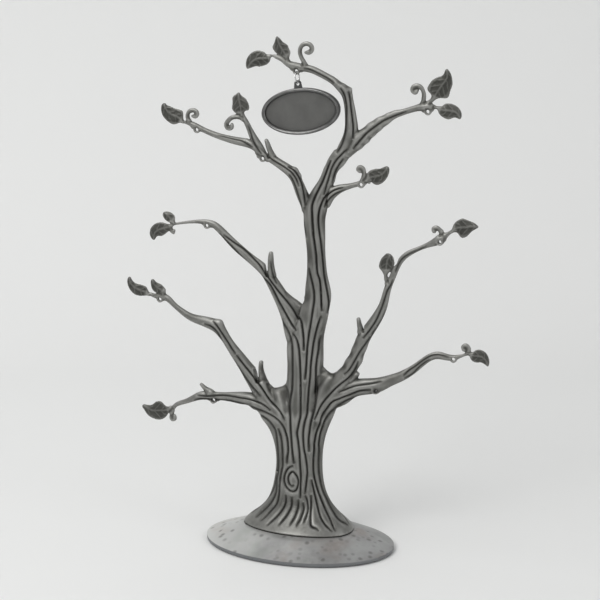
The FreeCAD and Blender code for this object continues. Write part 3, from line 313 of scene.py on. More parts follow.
# Webs between limbs, filled along a line: pixel place, radius and depth from front to back in pixels.
web_fill_lines = [
    [(286, 413, 8, 15), (284.5, 405, 7.5, 13), (281.8, 397.5, 6.4, 10), (278, 391.8, 4.6, 7)],
    [(321.5, 417, 8, 15.5), (321.5, 408, 8, 14), (322.5, 398, 8, 12), (325, 389, 7.5, 10),
     (328.6, 382, 6.4, 8), (331.8, 377.4, 5.2, 6)],
    [(351.5, 380, 3.5, 5), (355, 376.5, 3.2, 4.4), (357.6, 373.6, 2.6, 3.6)],
    [(285, 293, 2.4, 2.4), (290.5, 298.8, 3.2, 3.2), (296, 303.4, 3.7, 3.7), (301.8, 309, 4.2, 4.2)],
]

# Outlines drawn over: pixel place, reach in pixels, and pixels moved across and down.
pull_places = [
    (250, 409.5, 9, 0, -3.6), (258, 412.5, 5, -0.5, -1.5), (341, 409, 6, -1.4, -2.6),
    (354, 529, 12, -2.8, -0.8), (333, 181, 5, 0.9, 0), (329, 232, 14, 1.2, 0), (331, 294, 14, 2, 0),
    (341.5, 164.5, 6, 2.8, 0.2), (347, 157, 5, 1.6, 0.6), (325.6, 208, 8, 1.6, 0.4), (302.5, 297, 7, 2, 0),
    (352, 150.5, 5, 1, 1.6), (358.5, 145, 5, 1.8, 2.6), (364.5, 138.5, 5, 2, 3.2), (371, 132, 5, 1.6, 2.8),
    (378, 127, 5, 1.2, 2), (386, 122, 5, 0.8, 1.2), (370, 124.5, 5, -1, -2), (378, 119.5, 5, -1.2, -2.6),
    (386, 115, 5, -1, -2.2), (394, 111.5, 5, -0.6, -1.5), (341, 80, 5, -0.4, 1.4),
    (352, 87.5, 4, 1.4, -0.8), (275, 47, 4, -2.2, 0), (288.6, 52.4, 4, 2.4, 0), (277.3, 38, 2.5, 0, -0.8),
    (174, 121.5, 4.5, 0, 1.9), (181, 112, 4, 1.5, -1.4), (235, 98, 3.5, -1.7, -0.5),
    (244.5, 98.5, 3.5, 1.2, 0), (247.5, 110, 3, 0.9, 1.1), (173, 217, 3, 1.4, 0), (164, 215, 3, -0.9, 0),
    (447.6, 84, 4, 1.8, 0.4), (430, 88.5, 4.5, -1.8, 0.6), (446, 95.5, 4, 0.8, 1.6),
    (450, 116.5, 4.5, -0.4, 1.6), (464, 234.5, 5, -0.8, 1.4), (378, 182.6, 5, -0.6, 1.3),
    (369.5, 172.5, 4.5, -0.8, -0.8), (219.5, 321.5, 5, 2, -2), (166, 289.5, 3, 1.2, -0.4),
    (147, 287.2, 3.5, 0.2, -1.2), (340.5, 366, 6, 2.4, 0.5), (347, 354, 7, 2.6, 0), (353, 344, 6, 1.5, 0),
    (361, 362, 6, 1.8, 0.3), (366, 350, 6, 1, 0), (380, 266, 4, -1.2, 1), (393.5, 262, 4, 1.6, 1),
]

# Curled tendrils, thicker than a plain wire: pixel across and down, from the root to the curl's end.
tendril_lines = [
    [(303.6, 61.4), (301.2, 57), (299.9, 51.8), (300.7, 47.4), (303.3, 44.6), (307, 43.8), (310.2, 45.2),
     (311.8, 48), (311.1, 50.8), (308.6, 52.2)],
    [(188.2, 118.6), (187.6, 115.2), (188.6, 112.3), (191, 110.6), (194.2, 110.6), (196.4, 112.2),
     (196.7, 114.6), (194.9, 116.2)],
    [(240.6, 117.6), (236.6, 117), (232, 117.8), (228.6, 120.6), (226.7, 124.2), (227.3, 127),
     (229.6, 128.2), (231.6, 126.8)],
    [(423.5, 99.5), (424, 94.4), (422.8, 89.9), (420.3, 86.9), (417, 85.7), (413.9, 86.8), (412.5, 89.2),
     (413.4, 91.5), (415.8, 92)],
    [(363.3, 177.2), (364.2, 173.4), (363.5, 169.8), (361.3, 167.6), (359, 168.1), (358.5, 170),
     (360, 170.9)],
    [(173, 410.4), (171.8, 414), (171.6, 417), (173.1, 419), (174.8, 418)],
    [(441.3, 233.2), (440, 230.2), (437.6, 228.2), (435, 228), (433.6, 229.6), (434.1, 231)],
    [(468.7, 350.8), (468.6, 348.3), (467, 346.3), (464.7, 345.9), (463.2, 347.5), (463.9, 349.3)],
]
tendril_radius_px = 2.3
tendril_end_px = 2.5
ball_step_px = 1.0

# Corners of the joined limbs that are smoothed over: pixel across and down, radius in pixels.
soft_places = [
    (335, 150.5, 5), (304, 212, 5), (338.5, 409, 8), (257, 411, 6), (326.5, 164, 3), (263, 398, 4),
    (322, 208, 4), (332, 371, 9), (277, 387, 10), (349, 91, 7), (295, 172, 7), (283, 400, 13),
    (324, 395, 15), (297, 304, 9), (266, 271, 4), (209.5, 391.5, 5), (445, 240.5, 3), (377, 392.5, 4),
]
soft_rounds = 60

skin_voxel = 0.38 * MM
skin_triangles = 185000
skin_rounds = 4
half_way = 0.5
thin_depth = 2.2 * MM
thin_fade = thin_depth
blend_steps = 10
blend_rounds = 40
seam_px = (300.0, 410.5)
seam_reach = 9.0 * MM
seam_full_share = 1.5
seam_half_width = 24.0 * MM
seam_fade = 0.5 * thin_depth
seam_rounds = 220
carved_softening = 0.35

# The foot is undercut a little where it meets the base, and painted shade darkens the seam there.
undercut_depth = 0.45 * MM
undercut_height = 0.25 * MM
undercut_reach = 0.75 * MM
foot_seam_shade_height = 1.1 * MM

# How much each form darkens the metal with patina and painted shade, or rubs it bright with wear and painted
# highlight, from 0 to 1.
groove_dark = 0.74
valley_dark = 0.14
hollow_dark = 0.45
hollow_depth = 0.16 * MM
hollow_rounds = 6
blade_dark = 0.15
leaf_dark = 0.12
bulge_wear_and_highlight = 0.9
ridge_highlight_and_wear = 0.30
leaf_less_wear_and_highlight = 0.55

# The base's dome, from the box of its solid. Its top falls straight outside the slope's share.
base_low, base_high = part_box("base_plate")
base_half = (base_high.x - base_low.x) / 2
base_deep = (base_high.y - base_low.y) / 2
dome_rim = 2.2 * MM
dome_rise = base_high.z - base_low.z - dome_rim
dome_power = 0.45
slope_share = 0.62


def linked(name, data):
    """A new object in the scene that holds a mesh, a lamp or a camera."""
    obj = bpy.data.objects.new(name, data)
    bpy.context.scene.collection.objects.link(obj)
    return obj


def mesh_arrays(mesh):
    """Places and normals of the points, and the two points of each edge."""
    points = np.empty(len(mesh.vertices) * 3)
    mesh.vertices.foreach_get("co", points)
    normals = np.empty(len(mesh.vertices) * 3)
    mesh.vertex_normals.foreach_get("vector", normals)
    edges = np.empty(len(mesh.edges) * 2, dtype=np.int64)
    mesh.edges.foreach_get("vertices", edges)
    return points.reshape(-1, 3), normals.reshape(-1, 3), edges.reshape(-1, 2)


def store(mesh, name, values):
    """Keep one value at each point, for the materials to read."""
    attribute = mesh.attributes.new(name, "FLOAT", "POINT")
    attribute.data.foreach_set("value", np.array(values, dtype=np.float32))


def move_points(mesh, points):
    """Give the mesh's points new places."""
    mesh.vertices.foreach_set("co", points.ravel())
    mesh.update()


def with_modifier(obj, kind, **settings):
    """The mesh of obj after one modifier."""
    modifier = obj.modifiers.new("one", kind)
    for key, value in settings.items():
        setattr(modifier, key, value)
    graph = bpy.context.evaluated_depsgraph_get()
    made = bpy.data.meshes.new_from_object(obj.evaluated_get(graph))
    obj.modifiers.clear()
    old = obj.data
    obj.data = made
    bpy.data.meshes.remove(old)
    return made


def rounded_line(line):
    """The same line with four curved steps between each two places."""
    ahead = np.vstack([2 * line[0] - line[1], line, 2 * line[-1] - line[-2]])
    spots = []
    for index in range(1, len(ahead) - 2):
        before, here, after, beyond = ahead[index - 1:index + 3]
        for share in curve_shares:
            spots.append(0.5 * (2 * here + (after - before) * share
                                + (2 * before - 5 * here + 4 * after - beyond) * share ** 2
                                + (3 * here - before - 3 * after + beyond) * share ** 3))
    spots.append(line[-1])
    return np.array(spots)


def distances_along(line):
    """Distance from the start of a line to each of its places, in pixels."""
    runs = np.hypot(*(line[1:, :2] - line[:-1, :2]).T)
    return np.concatenate([[0.0], np.cumsum(runs)])


def groove_samples():
    """Close places along all the grooves, and the groove's strength at each."""
    places, strengths = [], []
    for strength, line in groove_lines:
        line = np.array(line)
        if line[0, 1] > foot_line_px:
            line = line[::-1]
        if line[-1, 1] > foot_line_px:
            heading = line[-1] - line[-2]
            line = np.vstack([line, line[-1] + heading * foot_run_on_px / np.hypot(*heading)])
        line = rounded_line(line)
        along = distances_along(line)
        stops = np.arange(0.0, along[-1], groove_step_px)
        across = np.interp(stops, along, line[:, 0])
        down = np.interp(stops, along, line[:, 1])
        to_end = np.minimum(stops, along[-1] - stops)
        fade = np.clip(to_end / groove_fade_px, 0.0, 1.0) ** groove_fade_power
        places += list(zip(across, down))
        strengths += list(strength * fade)
    return places, strengths


groove_places, groove_strengths = groove_samples()
groove_tree = KDTree(len(groove_places))
for sample, (across, down) in enumerate(groove_places):
    groove_tree.insert((across, down, 0.0), sample)
groove_tree.balance()


def groove_field(points):
    """How far each point is in a groove, in the wider valley round it and on the ridge beside it."""
    sharp = np.zeros(len(points))
    wide = np.zeros(len(points))
    beside = np.zeros(len(points))
    for index, (across, down) in enumerate(folded_px(points)):
        _, sample, distance = groove_tree.find((across, down, 0.0))
        if distance < groove_reach_px:
            strength = groove_strengths[sample]
            sharp[index] = strength * math.exp(-(distance / groove_width_px) ** 2)
            wide[index] = strength * math.exp(-(distance / (groove_width_px * valley_width_share)) ** 2)
            beside[index] = strength * math.exp(-((distance - ridge_px) / ridge_width_px) ** 2)
    return sharp, wide, beside


def spot_share(pixels, across, down, radius):
    """Share of a soft round spot at each pixel place, 1 in its middle."""
    away = np.hypot(pixels[:, 0] - across, pixels[:, 1] - down)
    return np.exp(-(away / radius) ** 2)


def spots_field(points, places):
    """Strength at each point of the listed round spots."""
    pixels = folded_px(points)
    field = np.zeros(len(points))
    for across, down, radius, *strength in places:
        share = spot_share(pixels, across, down, radius) * (strength[0] if strength else 1.0)
        field = np.maximum(field, share)
    return field


def beside_line(spots, line):
    """Each spot's distance to a leaf's line, side and run on it, half the blade there, and what is behind."""
    best = np.full(len(spots), math.inf)
    side = np.zeros(len(spots))
    run = np.zeros(len(spots))
    half = np.ones(len(spots))
    behind = np.zeros(len(spots), dtype=bool)
    start = 0.0
    for index in range(len(line) - 1):
        a, b = line[index], line[index + 1]
        step = b[:2] - a[:2]
        length = np.hypot(*step)
        reach = (spots - a[:2]) @ step
        share = np.clip(reach / length ** 2, 0.0, 1.0)
        gap = spots - (a[:2] + share[:, None] * step)
        distance = np.hypot(*gap.T)
        closer = distance < best
        best[closer] = distance[closer]
        crossed = (step[0] * gap[:, 1] - step[1] * gap[:, 0]) / length
        side[closer] = crossed[closer]
        run[closer] = (start + share * length)[closer]
        half[closer] = (a[2] + share * (b[2] - a[2]))[closer] / 2
        if index == 0:
            behind = (reach < 0) & closer
        start += length
    return best, np.abs(side), run, half, behind


def leaf_field(points):
    """Recess on a leaf blade, from 0 on rims and veins to 1 between them, and where leaves are."""
    pixels = folded_px(points)
    recess = np.zeros(len(points))
    inside = np.zeros(len(points))
    for line in leaf_lines:
        line = np.array(line)
        widest = line[:, 2].max()
        box_low = line[:, :2].min(axis=0) - widest
        box_high = line[:, :2].max(axis=0) + widest
        near = np.where(((pixels > box_low) & (pixels < box_high)).all(axis=1))[0]
        if len(near) == 0:
            continue
        best, side, run, half, behind = beside_line(pixels[near], line)
        out = side / np.maximum(half, leaf_half_least_px)
        blade = (out < leaf_edge_share) & (~behind) & (best < widest)
        rim = np.clip((leaf_rim_share - out) / leaf_rim_soft, 0.0, 1.0)
        rib = np.clip((side - leaf_rib_px * leaf_rib_share) / leaf_rib_px, 0.0, 1.0)
        phase = (run + side * leaf_vein_slope) % leaf_vein_gap_px
        to_vein = np.minimum(phase, leaf_vein_gap_px - phase)
        vein = np.clip((to_vein - leaf_vein_px * leaf_vein_share) / leaf_vein_px, 0.0, 1.0)
        root = np.clip(run / leaf_root_px, 0.0, 1.0)
        depth = rim * rib * (1.0 - leaf_vein_depth + leaf_vein_depth * vein) * root
        chosen = near[blade]
        recess[chosen] = np.maximum(recess[chosen], depth[blade])
        inside[chosen] = 1.0
    return recess, inside


def averaged(points, edges, rounds):
    """Points after rounds of averaging each with its neighbours."""
    weight = np.zeros(len(points))
    np.add.at(weight, edges[:, 0], 1.0)
    np.add.at(weight, edges[:, 1], 1.0)
    weight = np.maximum(weight, 1.0)[:, None]
    for _ in range(rounds):
        total = np.zeros_like(points)
        np.add.at(total, edges[:, 0], points[edges[:, 1]])
        np.add.at(total, edges[:, 1], points[edges[:, 0]])
        points = half_way * points + half_way * total / weight
    return points


def above_dome(points):
    """Height of each point above the solid dome of the base."""
    out = np.clip((points[:, 0] / base_half) ** 2 + (points[:, 1] / base_deep) ** 2, 0.0, 1.0)
    return points[:, 2] - (base_low.z + dome_rim + dome_rise * (1.0 - out) ** dome_power)


ball = bmesh.new()
bmesh.ops.create_icosphere(ball, subdivisions=2, radius=1.0)
ball_points = np.array([list(vert.co) for vert in ball.verts])
ball_faces = [[vert.index for vert in face.verts] for face in ball.faces]
ball.free()


def add_root(balls, across, down, radius_px, deep_px=None):
    """One small flattened ball in the tree's middle plane."""
    radius = radius_px * px_in_mm * MM
    deep = radius * root_depth_share if deep_px is None else deep_px * px_in_mm * MM
    spots = ball_points * np.array([radius, deep, radius]) + np.array(plane_point(across, down))
    balls.append(spots)


def add_tendril(balls, line):
    """A row of overlapping balls along a curled tendril, a little larger at its end."""
    line = rounded_line(np.array(line))
    along = distances_along(line)
    stops = np.arange(0.0, along[-1], ball_step_px)
    for across, down in zip(np.interp(stops, along, line[:, 0]), np.interp(stops, along, line[:, 1])):
        add_root(balls, across, down, tendril_radius_px)
    add_root(balls, line[-1][0], line[-1][1], tendril_end_px)


def add_web_fill(balls, line):
    """Overlapping deep balls along a web."""
    line = np.array(line)
    along = distances_along(line)
    for stop in np.arange(0.0, along[-1], ball_step_px):
        add_root(balls, *[float(np.interp(stop, along, column)) for column in line.T])


def balls_mesh(balls):
    """One mesh of all the balls."""
    points = np.vstack(balls)
    starts = range(0, len(points), len(ball_points))
    faces = [[start + corner for corner in face] for start in starts for face in ball_faces]
    mesh = bpy.data.meshes.new("balls")
    mesh.from_pydata([tuple(spot) for spot in points], [], faces)
    return mesh


def drawn_over(points):
    """The points moved where the outline is drawn over."""
    pixels = folded_px(points)
    total = np.zeros_like(points)
    weight = np.zeros(len(points))
    for across, down, reach, right_px, down_px in pull_places:
        share = spot_share(pixels, across, down, reach)
        step = plane_point(across + right_px, down + down_px) - plane_point(across, down)
        total += share[:, None] * np.array(step)
        weight += share
    return points + total / np.maximum(weight, 1.0)[:, None]


def smoothed_where(obj, share, rounds, only_depth):
    """The mesh of obj smoothed by a share of each point, front to back only if asked."""
    group = obj.vertex_groups.new(name="soft")
    for step in range(1, blend_steps + 1):
        chosen = np.where(np.round(share * blend_steps) == step)[0]
        group.add([int(index) for index in chosen], step / blend_steps, "REPLACE")
    mesh = with_modifier(obj, "SMOOTH", factor=half_way, iterations=rounds, vertex_group="soft",
                         use_x=not only_depth, use_z=not only_depth)
    obj.vertex_groups.clear()
    return mesh


def thick_share(points, fade):
    """0 where the tree is thin, and 1 where it is thicker by the fade."""
    return np.clip((np.abs(points[:, 1]) - thin_depth) / fade, 0.0, 1.0)


def joined_tree(nodes):
    """One object with the tree's solids and the small fillings between them."""
    together = bmesh.new()
    for node in nodes:
        together.from_mesh(frame["nodes"][node].data)
    balls = []
    for place in root_places:
        add_root(balls, *place)
    for line in tendril_lines:
        add_tendril(balls, line)
    for line in web_fill_lines:
        add_web_fill(balls, line)
    together.from_mesh(balls_mesh(balls))
    mesh = bpy.data.meshes.new("tree_skin")
    together.to_mesh(mesh)
    together.free()
    return linked("tree_skin", mesh)


def soften(skin):
    """Melt the joined solids into one another and draw their outline over."""
    with_modifier(skin, "REMESH", mode="VOXEL", voxel_size=skin_voxel, use_smooth_shade=True)
    points, _, _ = mesh_arrays(with_modifier(skin, "SMOOTH", factor=half_way, iterations=skin_rounds))
    smoothed_where(skin, thick_share(points, thin_fade), blend_rounds, True)
    seam_height = plane_point(*seam_px).z
    share = np.clip(seam_full_share - np.abs(points[:, 2] - seam_height) / seam_reach, 0.0, 1.0)
    share *= np.abs(points[:, 0]) < seam_half_width
    share *= thick_share(points, seam_fade)
    points, _, _ = mesh_arrays(smoothed_where(skin, share, seam_rounds, False))
    mesh = smoothed_where(skin, spots_field(points, soft_places), soft_rounds, False)
    points, _, _ = mesh_arrays(mesh)
    move_points(mesh, drawn_over(points))


def carve(skin):
    """Sink the bark's grooves, the leaves' blades and the undercut of the foot into the skin."""
    points, normals, _ = mesh_arrays(skin.data)
    sharp, wide, _ = groove_field(points)
    recess, inside = leaf_field(points)
    depth = np.minimum(np.abs(points[:, 1]) * groove_depth_share + groove_depth_least, groove_depth_most)
    sink = depth * (sharp + valley_depth_share * wide) * (1.0 - inside)
    moved = points - normals * sink[:, None]
    blade = leaf_recess * recess * np.abs(normals[:, 1])
    moved[:, 1] -= np.sign(points[:, 1]) * np.minimum(blade, np.abs(points[:, 1]) * leaf_recess_most)
    under = np.clip(1.0 - np.abs(above_dome(moved) - undercut_height) / undercut_reach, 0.0, 1.0)
    moved[:, :2] -= normals[:, :2] * under[:, None] * undercut_depth
    move_points(skin.data, moved)
    with_modifier(skin, "SMOOTH", factor=carved_softening, iterations=1)
    ratio = skin_triangles / (2.0 * len(skin.data.polygons))
    with_modifier(skin, "DECIMATE", ratio=min(ratio, 1.0))


def age(skin):
    """Keep at each point how dark the metal is with patina and painted shade, and how much it is rubbed
    bright with wear and painted highlight.
    """
    points, normals, edges = mesh_arrays(skin.data)
    sharp, wide, beside = groove_field(points)
    recess, inside = leaf_field(points)
    shade = spots_field(points, shade_places)
    hollow = ((averaged(points, edges, hollow_rounds) - points) * normals).sum(axis=1) / hollow_depth
    # Painted shade where the foot meets the base.
    seam_shade = np.clip(1.0 - above_dome(points) / foot_seam_shade_height, 0.0, 1.0)
    # Groove patina, together with the painted shade of the shade places.
    bark_and_shade = groove_dark * sharp + valley_dark * wide + shade
    dark = bark_and_shade * (1.0 - inside) + np.clip(hollow, 0.0, 1.0) * hollow_dark + seam_shade
    # Wear and painted highlight on bulges and on the ridges beside the grooves.
    wear_and_highlight = np.clip(bulge_wear_and_highlight * np.clip(-hollow, 0.0, 1.0) + ridge_highlight_and_wear * beside, 0.0, 1.0)
    store(skin.data, "patina_and_shade", np.clip(dark + recess * blade_dark + inside * leaf_dark, 0.0, 1.0))
    store(skin.data, "wear_and_highlight", wear_and_highlight * (1.0 - shade) * (1.0 - leaf_less_wear_and_highlight * inside))


def make_skin():
    """One skin over the cast tree, with its bark grooves, knot and leaf veins carved in."""
    stand = frame["record"]["behaviour"]["bodies"]["stand"]
    nodes = [node for node in stand if node not in ("base_plate", "felt_pad", "tree_screws")]
    skin = joined_tree(nodes)
    soften(skin)
    carve(skin)
    age(skin)
    skin.data.polygons.foreach_set("use_smooth", [True] * len(skin.data.polygons))
    skin.data.materials.clear()
    skin.data.materials.append(tree_metal())
    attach(skin, "stand")
    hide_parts(*nodes)


class Finish:
    """A material of nodes: one shader and what feeds it."""

    def __init__(self, name):
        self.material = bpy.data.materials.new(name)
        self.material.use_nodes = True
        self.nodes = self.material.node_tree.nodes
        self.links = self.material.node_tree.links
        self.nodes.clear()
        self.output = self.nodes.new("ShaderNodeOutputMaterial")
        self.shader = self.nodes.new("ShaderNodeBsdfPrincipled")
        self.links.new(self.shader.outputs["BSDF"], self.output.inputs["Surface"])

    def place(self):
        """Place on the object, in metres."""
        return self.nodes.new("ShaderNodeTexCoord").outputs["Object"]

    def texture(self, kind, scale, **inputs):
        """A texture that is spread over the object's own places."""
        made = self.nodes.new(kind)
        made.inputs["Scale"].default_value = scale
        for key, value in inputs.items():
            made.inputs[key].default_value = value
        self.links.new(self.place(), made.inputs["Vector"])
        return made

    def noise(self, scale, detail, roughness):
        """A cloudy value."""
        made = self.texture("ShaderNodeTexNoise", scale, Detail=detail, Roughness=roughness)
        return made.outputs["Fac"]

    def stored(self, name):
        """The value that the mesh keeps under a name."""
        made = self.nodes.new("ShaderNodeAttribute")
        made.attribute_name = name
        return made.outputs["Fac"]

    def apart(self, kind, source, part):
        """One part of a vector or colour."""
        made = self.nodes.new(kind)
        self.links.new(source, made.inputs[0])
        return made.outputs[part]

    def ramp(self, source, stops):
        """Colour for a value, by its stops."""
        made = self.nodes.new("ShaderNodeValToRGB")
        elements = made.color_ramp.elements
        while len(elements) < len(stops):
            elements.new(half_way)
        for element, (position, colour) in zip(elements, stops):
            element.position = position
            element.color = (*colour, 1.0)
        self.links.new(source, made.inputs["Fac"])
        return made.outputs["Color"]

    def mixed(self, share, first, second, blend="MIX"):
        """The first colour with a share of the second."""
        made = self.nodes.new("ShaderNodeMix")
        made.data_type = "RGBA"
        made.blend_type = blend
        for socket, kind, value in (("Factor", "VALUE", share), ("A", "RGBA", first), ("B", "RGBA", second)):
            target = next(entry for entry in made.inputs if entry.name == socket and entry.type == kind)
            if isinstance(value, float):
                target.default_value = value
            elif isinstance(value, tuple):
                target.default_value = (*value, 1.0)
            else:
                self.links.new(value, target)
        return next(entry for entry in made.outputs if entry.type == "RGBA")

    def number(self, operation, first, second):
        """One sum of two values."""
        made = self.nodes.new("ShaderNodeMath")
        made.operation = operation
        for index, value in enumerate((first, second)):
            if isinstance(value, float):
                made.inputs[index].default_value = value
            else:
                self.links.new(value, made.inputs[index])
        return made.outputs["Value"]

    def surface(self, colour, metallic, source, rough_span, rough_least):
        """Feed the shader its colour, its metal and a roughness that wanders with the source."""
        self.links.new(colour, self.shader.inputs["Base Color"])
        self.shader.inputs["Metallic"].default_value = metallic
        rough = self.number("ADD", self.number("MULTIPLY", source, rough_span), rough_least)
        self.links.new(rough, self.shader.inputs["Roughness"])

    def bump(self, height, strength):
        """Fine grain on the surface."""
        made = self.nodes.new("ShaderNodeBump")
        made.inputs["Strength"].default_value = strength
        made.inputs["Distance"].default_value = grain_height
        self.links.new(height, made.inputs["Height"])
        self.links.new(made.outputs["Normal"], self.shader.inputs["Normal"])


# Colours, from dark to light, with their places on the texture that spreads them.
black = (0.0, 0.0, 0.0)
white = (1.0, 1.0, 1.0)
grain_height = 0.2 * MM
tree_tones = [(0.30, (0.084, 0.084, 0.076)), (0.52, (0.114, 0.114, 0.104)), (0.72, (0.146, 0.146, 0.135))]
# Rubbed colour, which also paints highlights on the ridges.
tree_rubbed_and_highlight = (0.30, 0.30, 0.285)
# Patina colour, which also paints shade in corners and hollows.
tree_patina_and_shade = (0.017, 0.0168, 0.0145)
tree_rub_and_highlight = 1.3
tree_metallic = 0.72
tree_roughness = (0.22, 0.34)
tree_grain = 0.10
base_tones = [(0.30, (0.24, 0.235, 0.24)), (0.50, (0.325, 0.325, 0.32)), (0.70, (0.46, 0.465, 0.46))]
base_hues = [(0.30, (0.30, 0.335, 0.30)), (0.45, (0.5, 0.5, 0.5)), (0.57, (0.5, 0.5, 0.5)),
             (0.72, (0.40, 0.34, 0.31))]
base_hue_share = 0.80
base_painted_light = (0.72, 0.73, 0.71)
base_painted_light_per_metre = -14.0
base_painted_shade = (0.19, 0.19, 0.195)
base_painted_shade_per_metre = 7.0
base_rim_shade = (0.185, 0.192, 0.198)
base_metallic = 0.55
base_roughness = (0.20, 0.34)
base_grain = 0.12
pit_shape = [(0.16, white), (0.42, black)]
pit_choice = [(0.35, black), (0.60, white)]
pit_spread = [(0.40, black), (0.50, white)]
pit_share = 0.62
pit_colour = (0.11, 0.105, 0.10)
# Colour of the painted shade on edges.
edge_shade_colour = (0.022, 0.022, 0.021)
dark_stop, light_stop = 0.3, 0.7

# Clouds of a texture: how many to a metre, detail and roughness.
tree_cloud = (60.0, 4.0, 0.6)
tree_fine_grain = (900.0, 3.0, 0.6)
base_cloud = (34.0, 5.0, 0.62)
base_patches = (52.0, 2.0, 0.5)
base_fine_grain = (1400.0, 2.0, 0.6)
pits_per_metre = 240.0
plain_cloud = (4.0, 0.6)

# Plain metals: dark and light colour, metal share, roughness span and least, clouds to a metre, painted shade
# on edges.
plain_metals = {
    "bright_wire": ((0.66, 0.66, 0.665), (0.85, 0.85, 0.855), 1.0, (0.10, 0.14), 700.0, True),
    "frame_metal_finish": ((0.125, 0.125, 0.123), (0.205, 0.205, 0.202), 0.85, (0.12, 0.24), 260.0, True),
    "tab_metal_finish": ((0.05, 0.05, 0.05), (0.11, 0.11, 0.11), 0.75, (0.16, 0.34), 260.0, False),
    "plate_finish": ((0.096, 0.096, 0.092), (0.122, 0.122, 0.117), 0.25, (0.10, 0.44), 120.0, True),
    "zinc_screw": ((0.40, 0.40, 0.41), (0.55, 0.55, 0.56), 1.0, (0.15, 0.25), 500.0, False),
}

# Dull surfaces: dark and light colour, cloud and roughness.
dull_stuffs = {
    "dark_felt": ((0.012, 0.012, 0.013), (0.04, 0.04, 0.042), (2600.0, 4.0, 0.7), 0.95),
    "pale_backdrop": ((0.79, 0.795, 0.79), (0.81, 0.815, 0.81), (1.2, 1.0, 0.4), 0.9),
}
backdrop_shine = 0.2


def tree_metal():
    """Antiqued cast metal: dark with patina in its grooves and painted shade in its corners, rubbed light
    with wear and painted highlights on its ridges.
    """
    finish = Finish("antiqued_tree_metal")
    grain = finish.noise(*tree_fine_grain)
    body = finish.ramp(finish.noise(*tree_cloud), tree_tones)
    rubbed_and_highlit = finish.number("MULTIPLY", finish.stored("wear_and_highlight"), tree_rub_and_highlight)
    lit = finish.mixed(rubbed_and_highlit, body, tree_rubbed_and_highlight)
    dark = finish.mixed(finish.stored("patina_and_shade"), lit, tree_patina_and_shade)
    finish.surface(dark, tree_metallic, grain, *tree_roughness)
    finish.bump(grain, tree_grain)
    return finish.material


def toward(finish, per_metre, body, colour):
    """The body colour turned to another one along the base, from its middle outward."""
    across = finish.apart("ShaderNodeSeparateXYZ", finish.place(), "X")
    share = finish.number("MAXIMUM", finish.number("MULTIPLY", across, per_metre), 0.0)
    return finish.mixed(share, body, colour)


def base_metal():
    """Mottled metal with small dark pits, with painted light toward the left and painted shade toward the
    right.
    """
    finish = Finish("mottled_base_metal")
    cloud = finish.noise(*base_cloud)
    # Painted light toward the left of the base and painted shade toward the right.
    body = toward(finish, base_painted_light_per_metre, finish.ramp(cloud, base_tones), base_painted_light)
    body = toward(finish, base_painted_shade_per_metre, body, base_painted_shade)
    hue = finish.ramp(finish.noise(*base_patches), base_hues)
    toned = finish.mixed(base_hue_share, body, hue, "SOFT_LIGHT")
    pits = finish.texture("ShaderNodeTexVoronoi", pits_per_metre, Randomness=1.0)
    chosen = finish.apart("ShaderNodeSeparateColor", pits.outputs["Color"], "Red")
    spots = finish.number("MULTIPLY", finish.ramp(pits.outputs["Distance"], pit_shape),
                          finish.ramp(chosen, pit_choice))
    spots = finish.number("MULTIPLY", spots, finish.ramp(finish.noise(*base_patches), pit_spread))
    speckled = finish.mixed(finish.number("MULTIPLY", spots, pit_share), toned, pit_colour)
    edge_shaded = finish.mixed(finish.stored("edge_shade"), speckled, base_rim_shade)
    finish.surface(edge_shaded, base_metallic, cloud, *base_roughness)
    finish.bump(finish.noise(*base_fine_grain), base_grain)
    return finish.material


def plain_metal(name):
    """Plain metal with a faint cloud, and painted shade where the mesh keeps an edge shade value."""
    dark, light, metallic, roughness, clouds, edge_shaded = plain_metals[name]
    finish = Finish(name)
    cloud = finish.noise(clouds, *plain_cloud)
    colour = finish.ramp(cloud, [(dark_stop, dark), (light_stop, light)])
    if edge_shaded:
        colour = finish.mixed(finish.stored("edge_shade"), colour, edge_shade_colour)
    finish.surface(colour, metallic, cloud, *roughness)
    return finish.material


def dull_stuff(name):
    """A dull surface that isn't metal, with a faint cloud."""
    dark, light, cloud, rough = dull_stuffs[name]
    finish = Finish(name)
    colour = finish.ramp(finish.noise(*cloud), [(dark_stop, dark), (light_stop, light)])
    finish.links.new(colour, finish.shader.inputs["Base Color"])
    finish.shader.inputs["Roughness"].default_value = rough
    return finish


def turns(count):
    """Angles of a full turn in equal steps."""
    return [2 * math.pi * step / count for step in range(count)]


def swept(name, rings, closed_run=True):
    """Mesh over rings of points: each ring is a list of places, joined to the next."""
    count = len(rings[0])
    points = [tuple(place) for ring in rings for place in ring]
    faces = []
    for index in range(len(rings) if closed_run else len(rings) - 1):
        after = (index + 1) % len(rings)
        for spot in range(count):
            beside = (spot + 1) % count
            here, there = index * count, after * count
            faces.append((here + spot, here + beside, there + beside, there + spot))
    if not closed_run:
        faces.append(tuple(reversed(range(count))))
        faces.append(tuple(range((len(rings) - 1) * count, len(rings) * count)))
    mesh = bpy.data.meshes.new(name)
    mesh.from_pydata(points, [], faces)
    mesh.update()
    work = bmesh.new()
    work.from_mesh(mesh)
    bmesh.ops.recalc_face_normals(work, faces=work.faces)
    work.to_mesh(mesh)
    work.free()
    return linked(name, mesh)


def smooth_by_angle(obj, degrees):
    """Smooth shading, with creases sharper than the angle kept."""
    mesh = obj.data
    mesh.polygons.foreach_set("use_smooth", [True] * len(mesh.polygons))
    mesh.set_sharp_from_angle(angle=math.radians(degrees))


soft_crease = 50
sharp_crease = 40


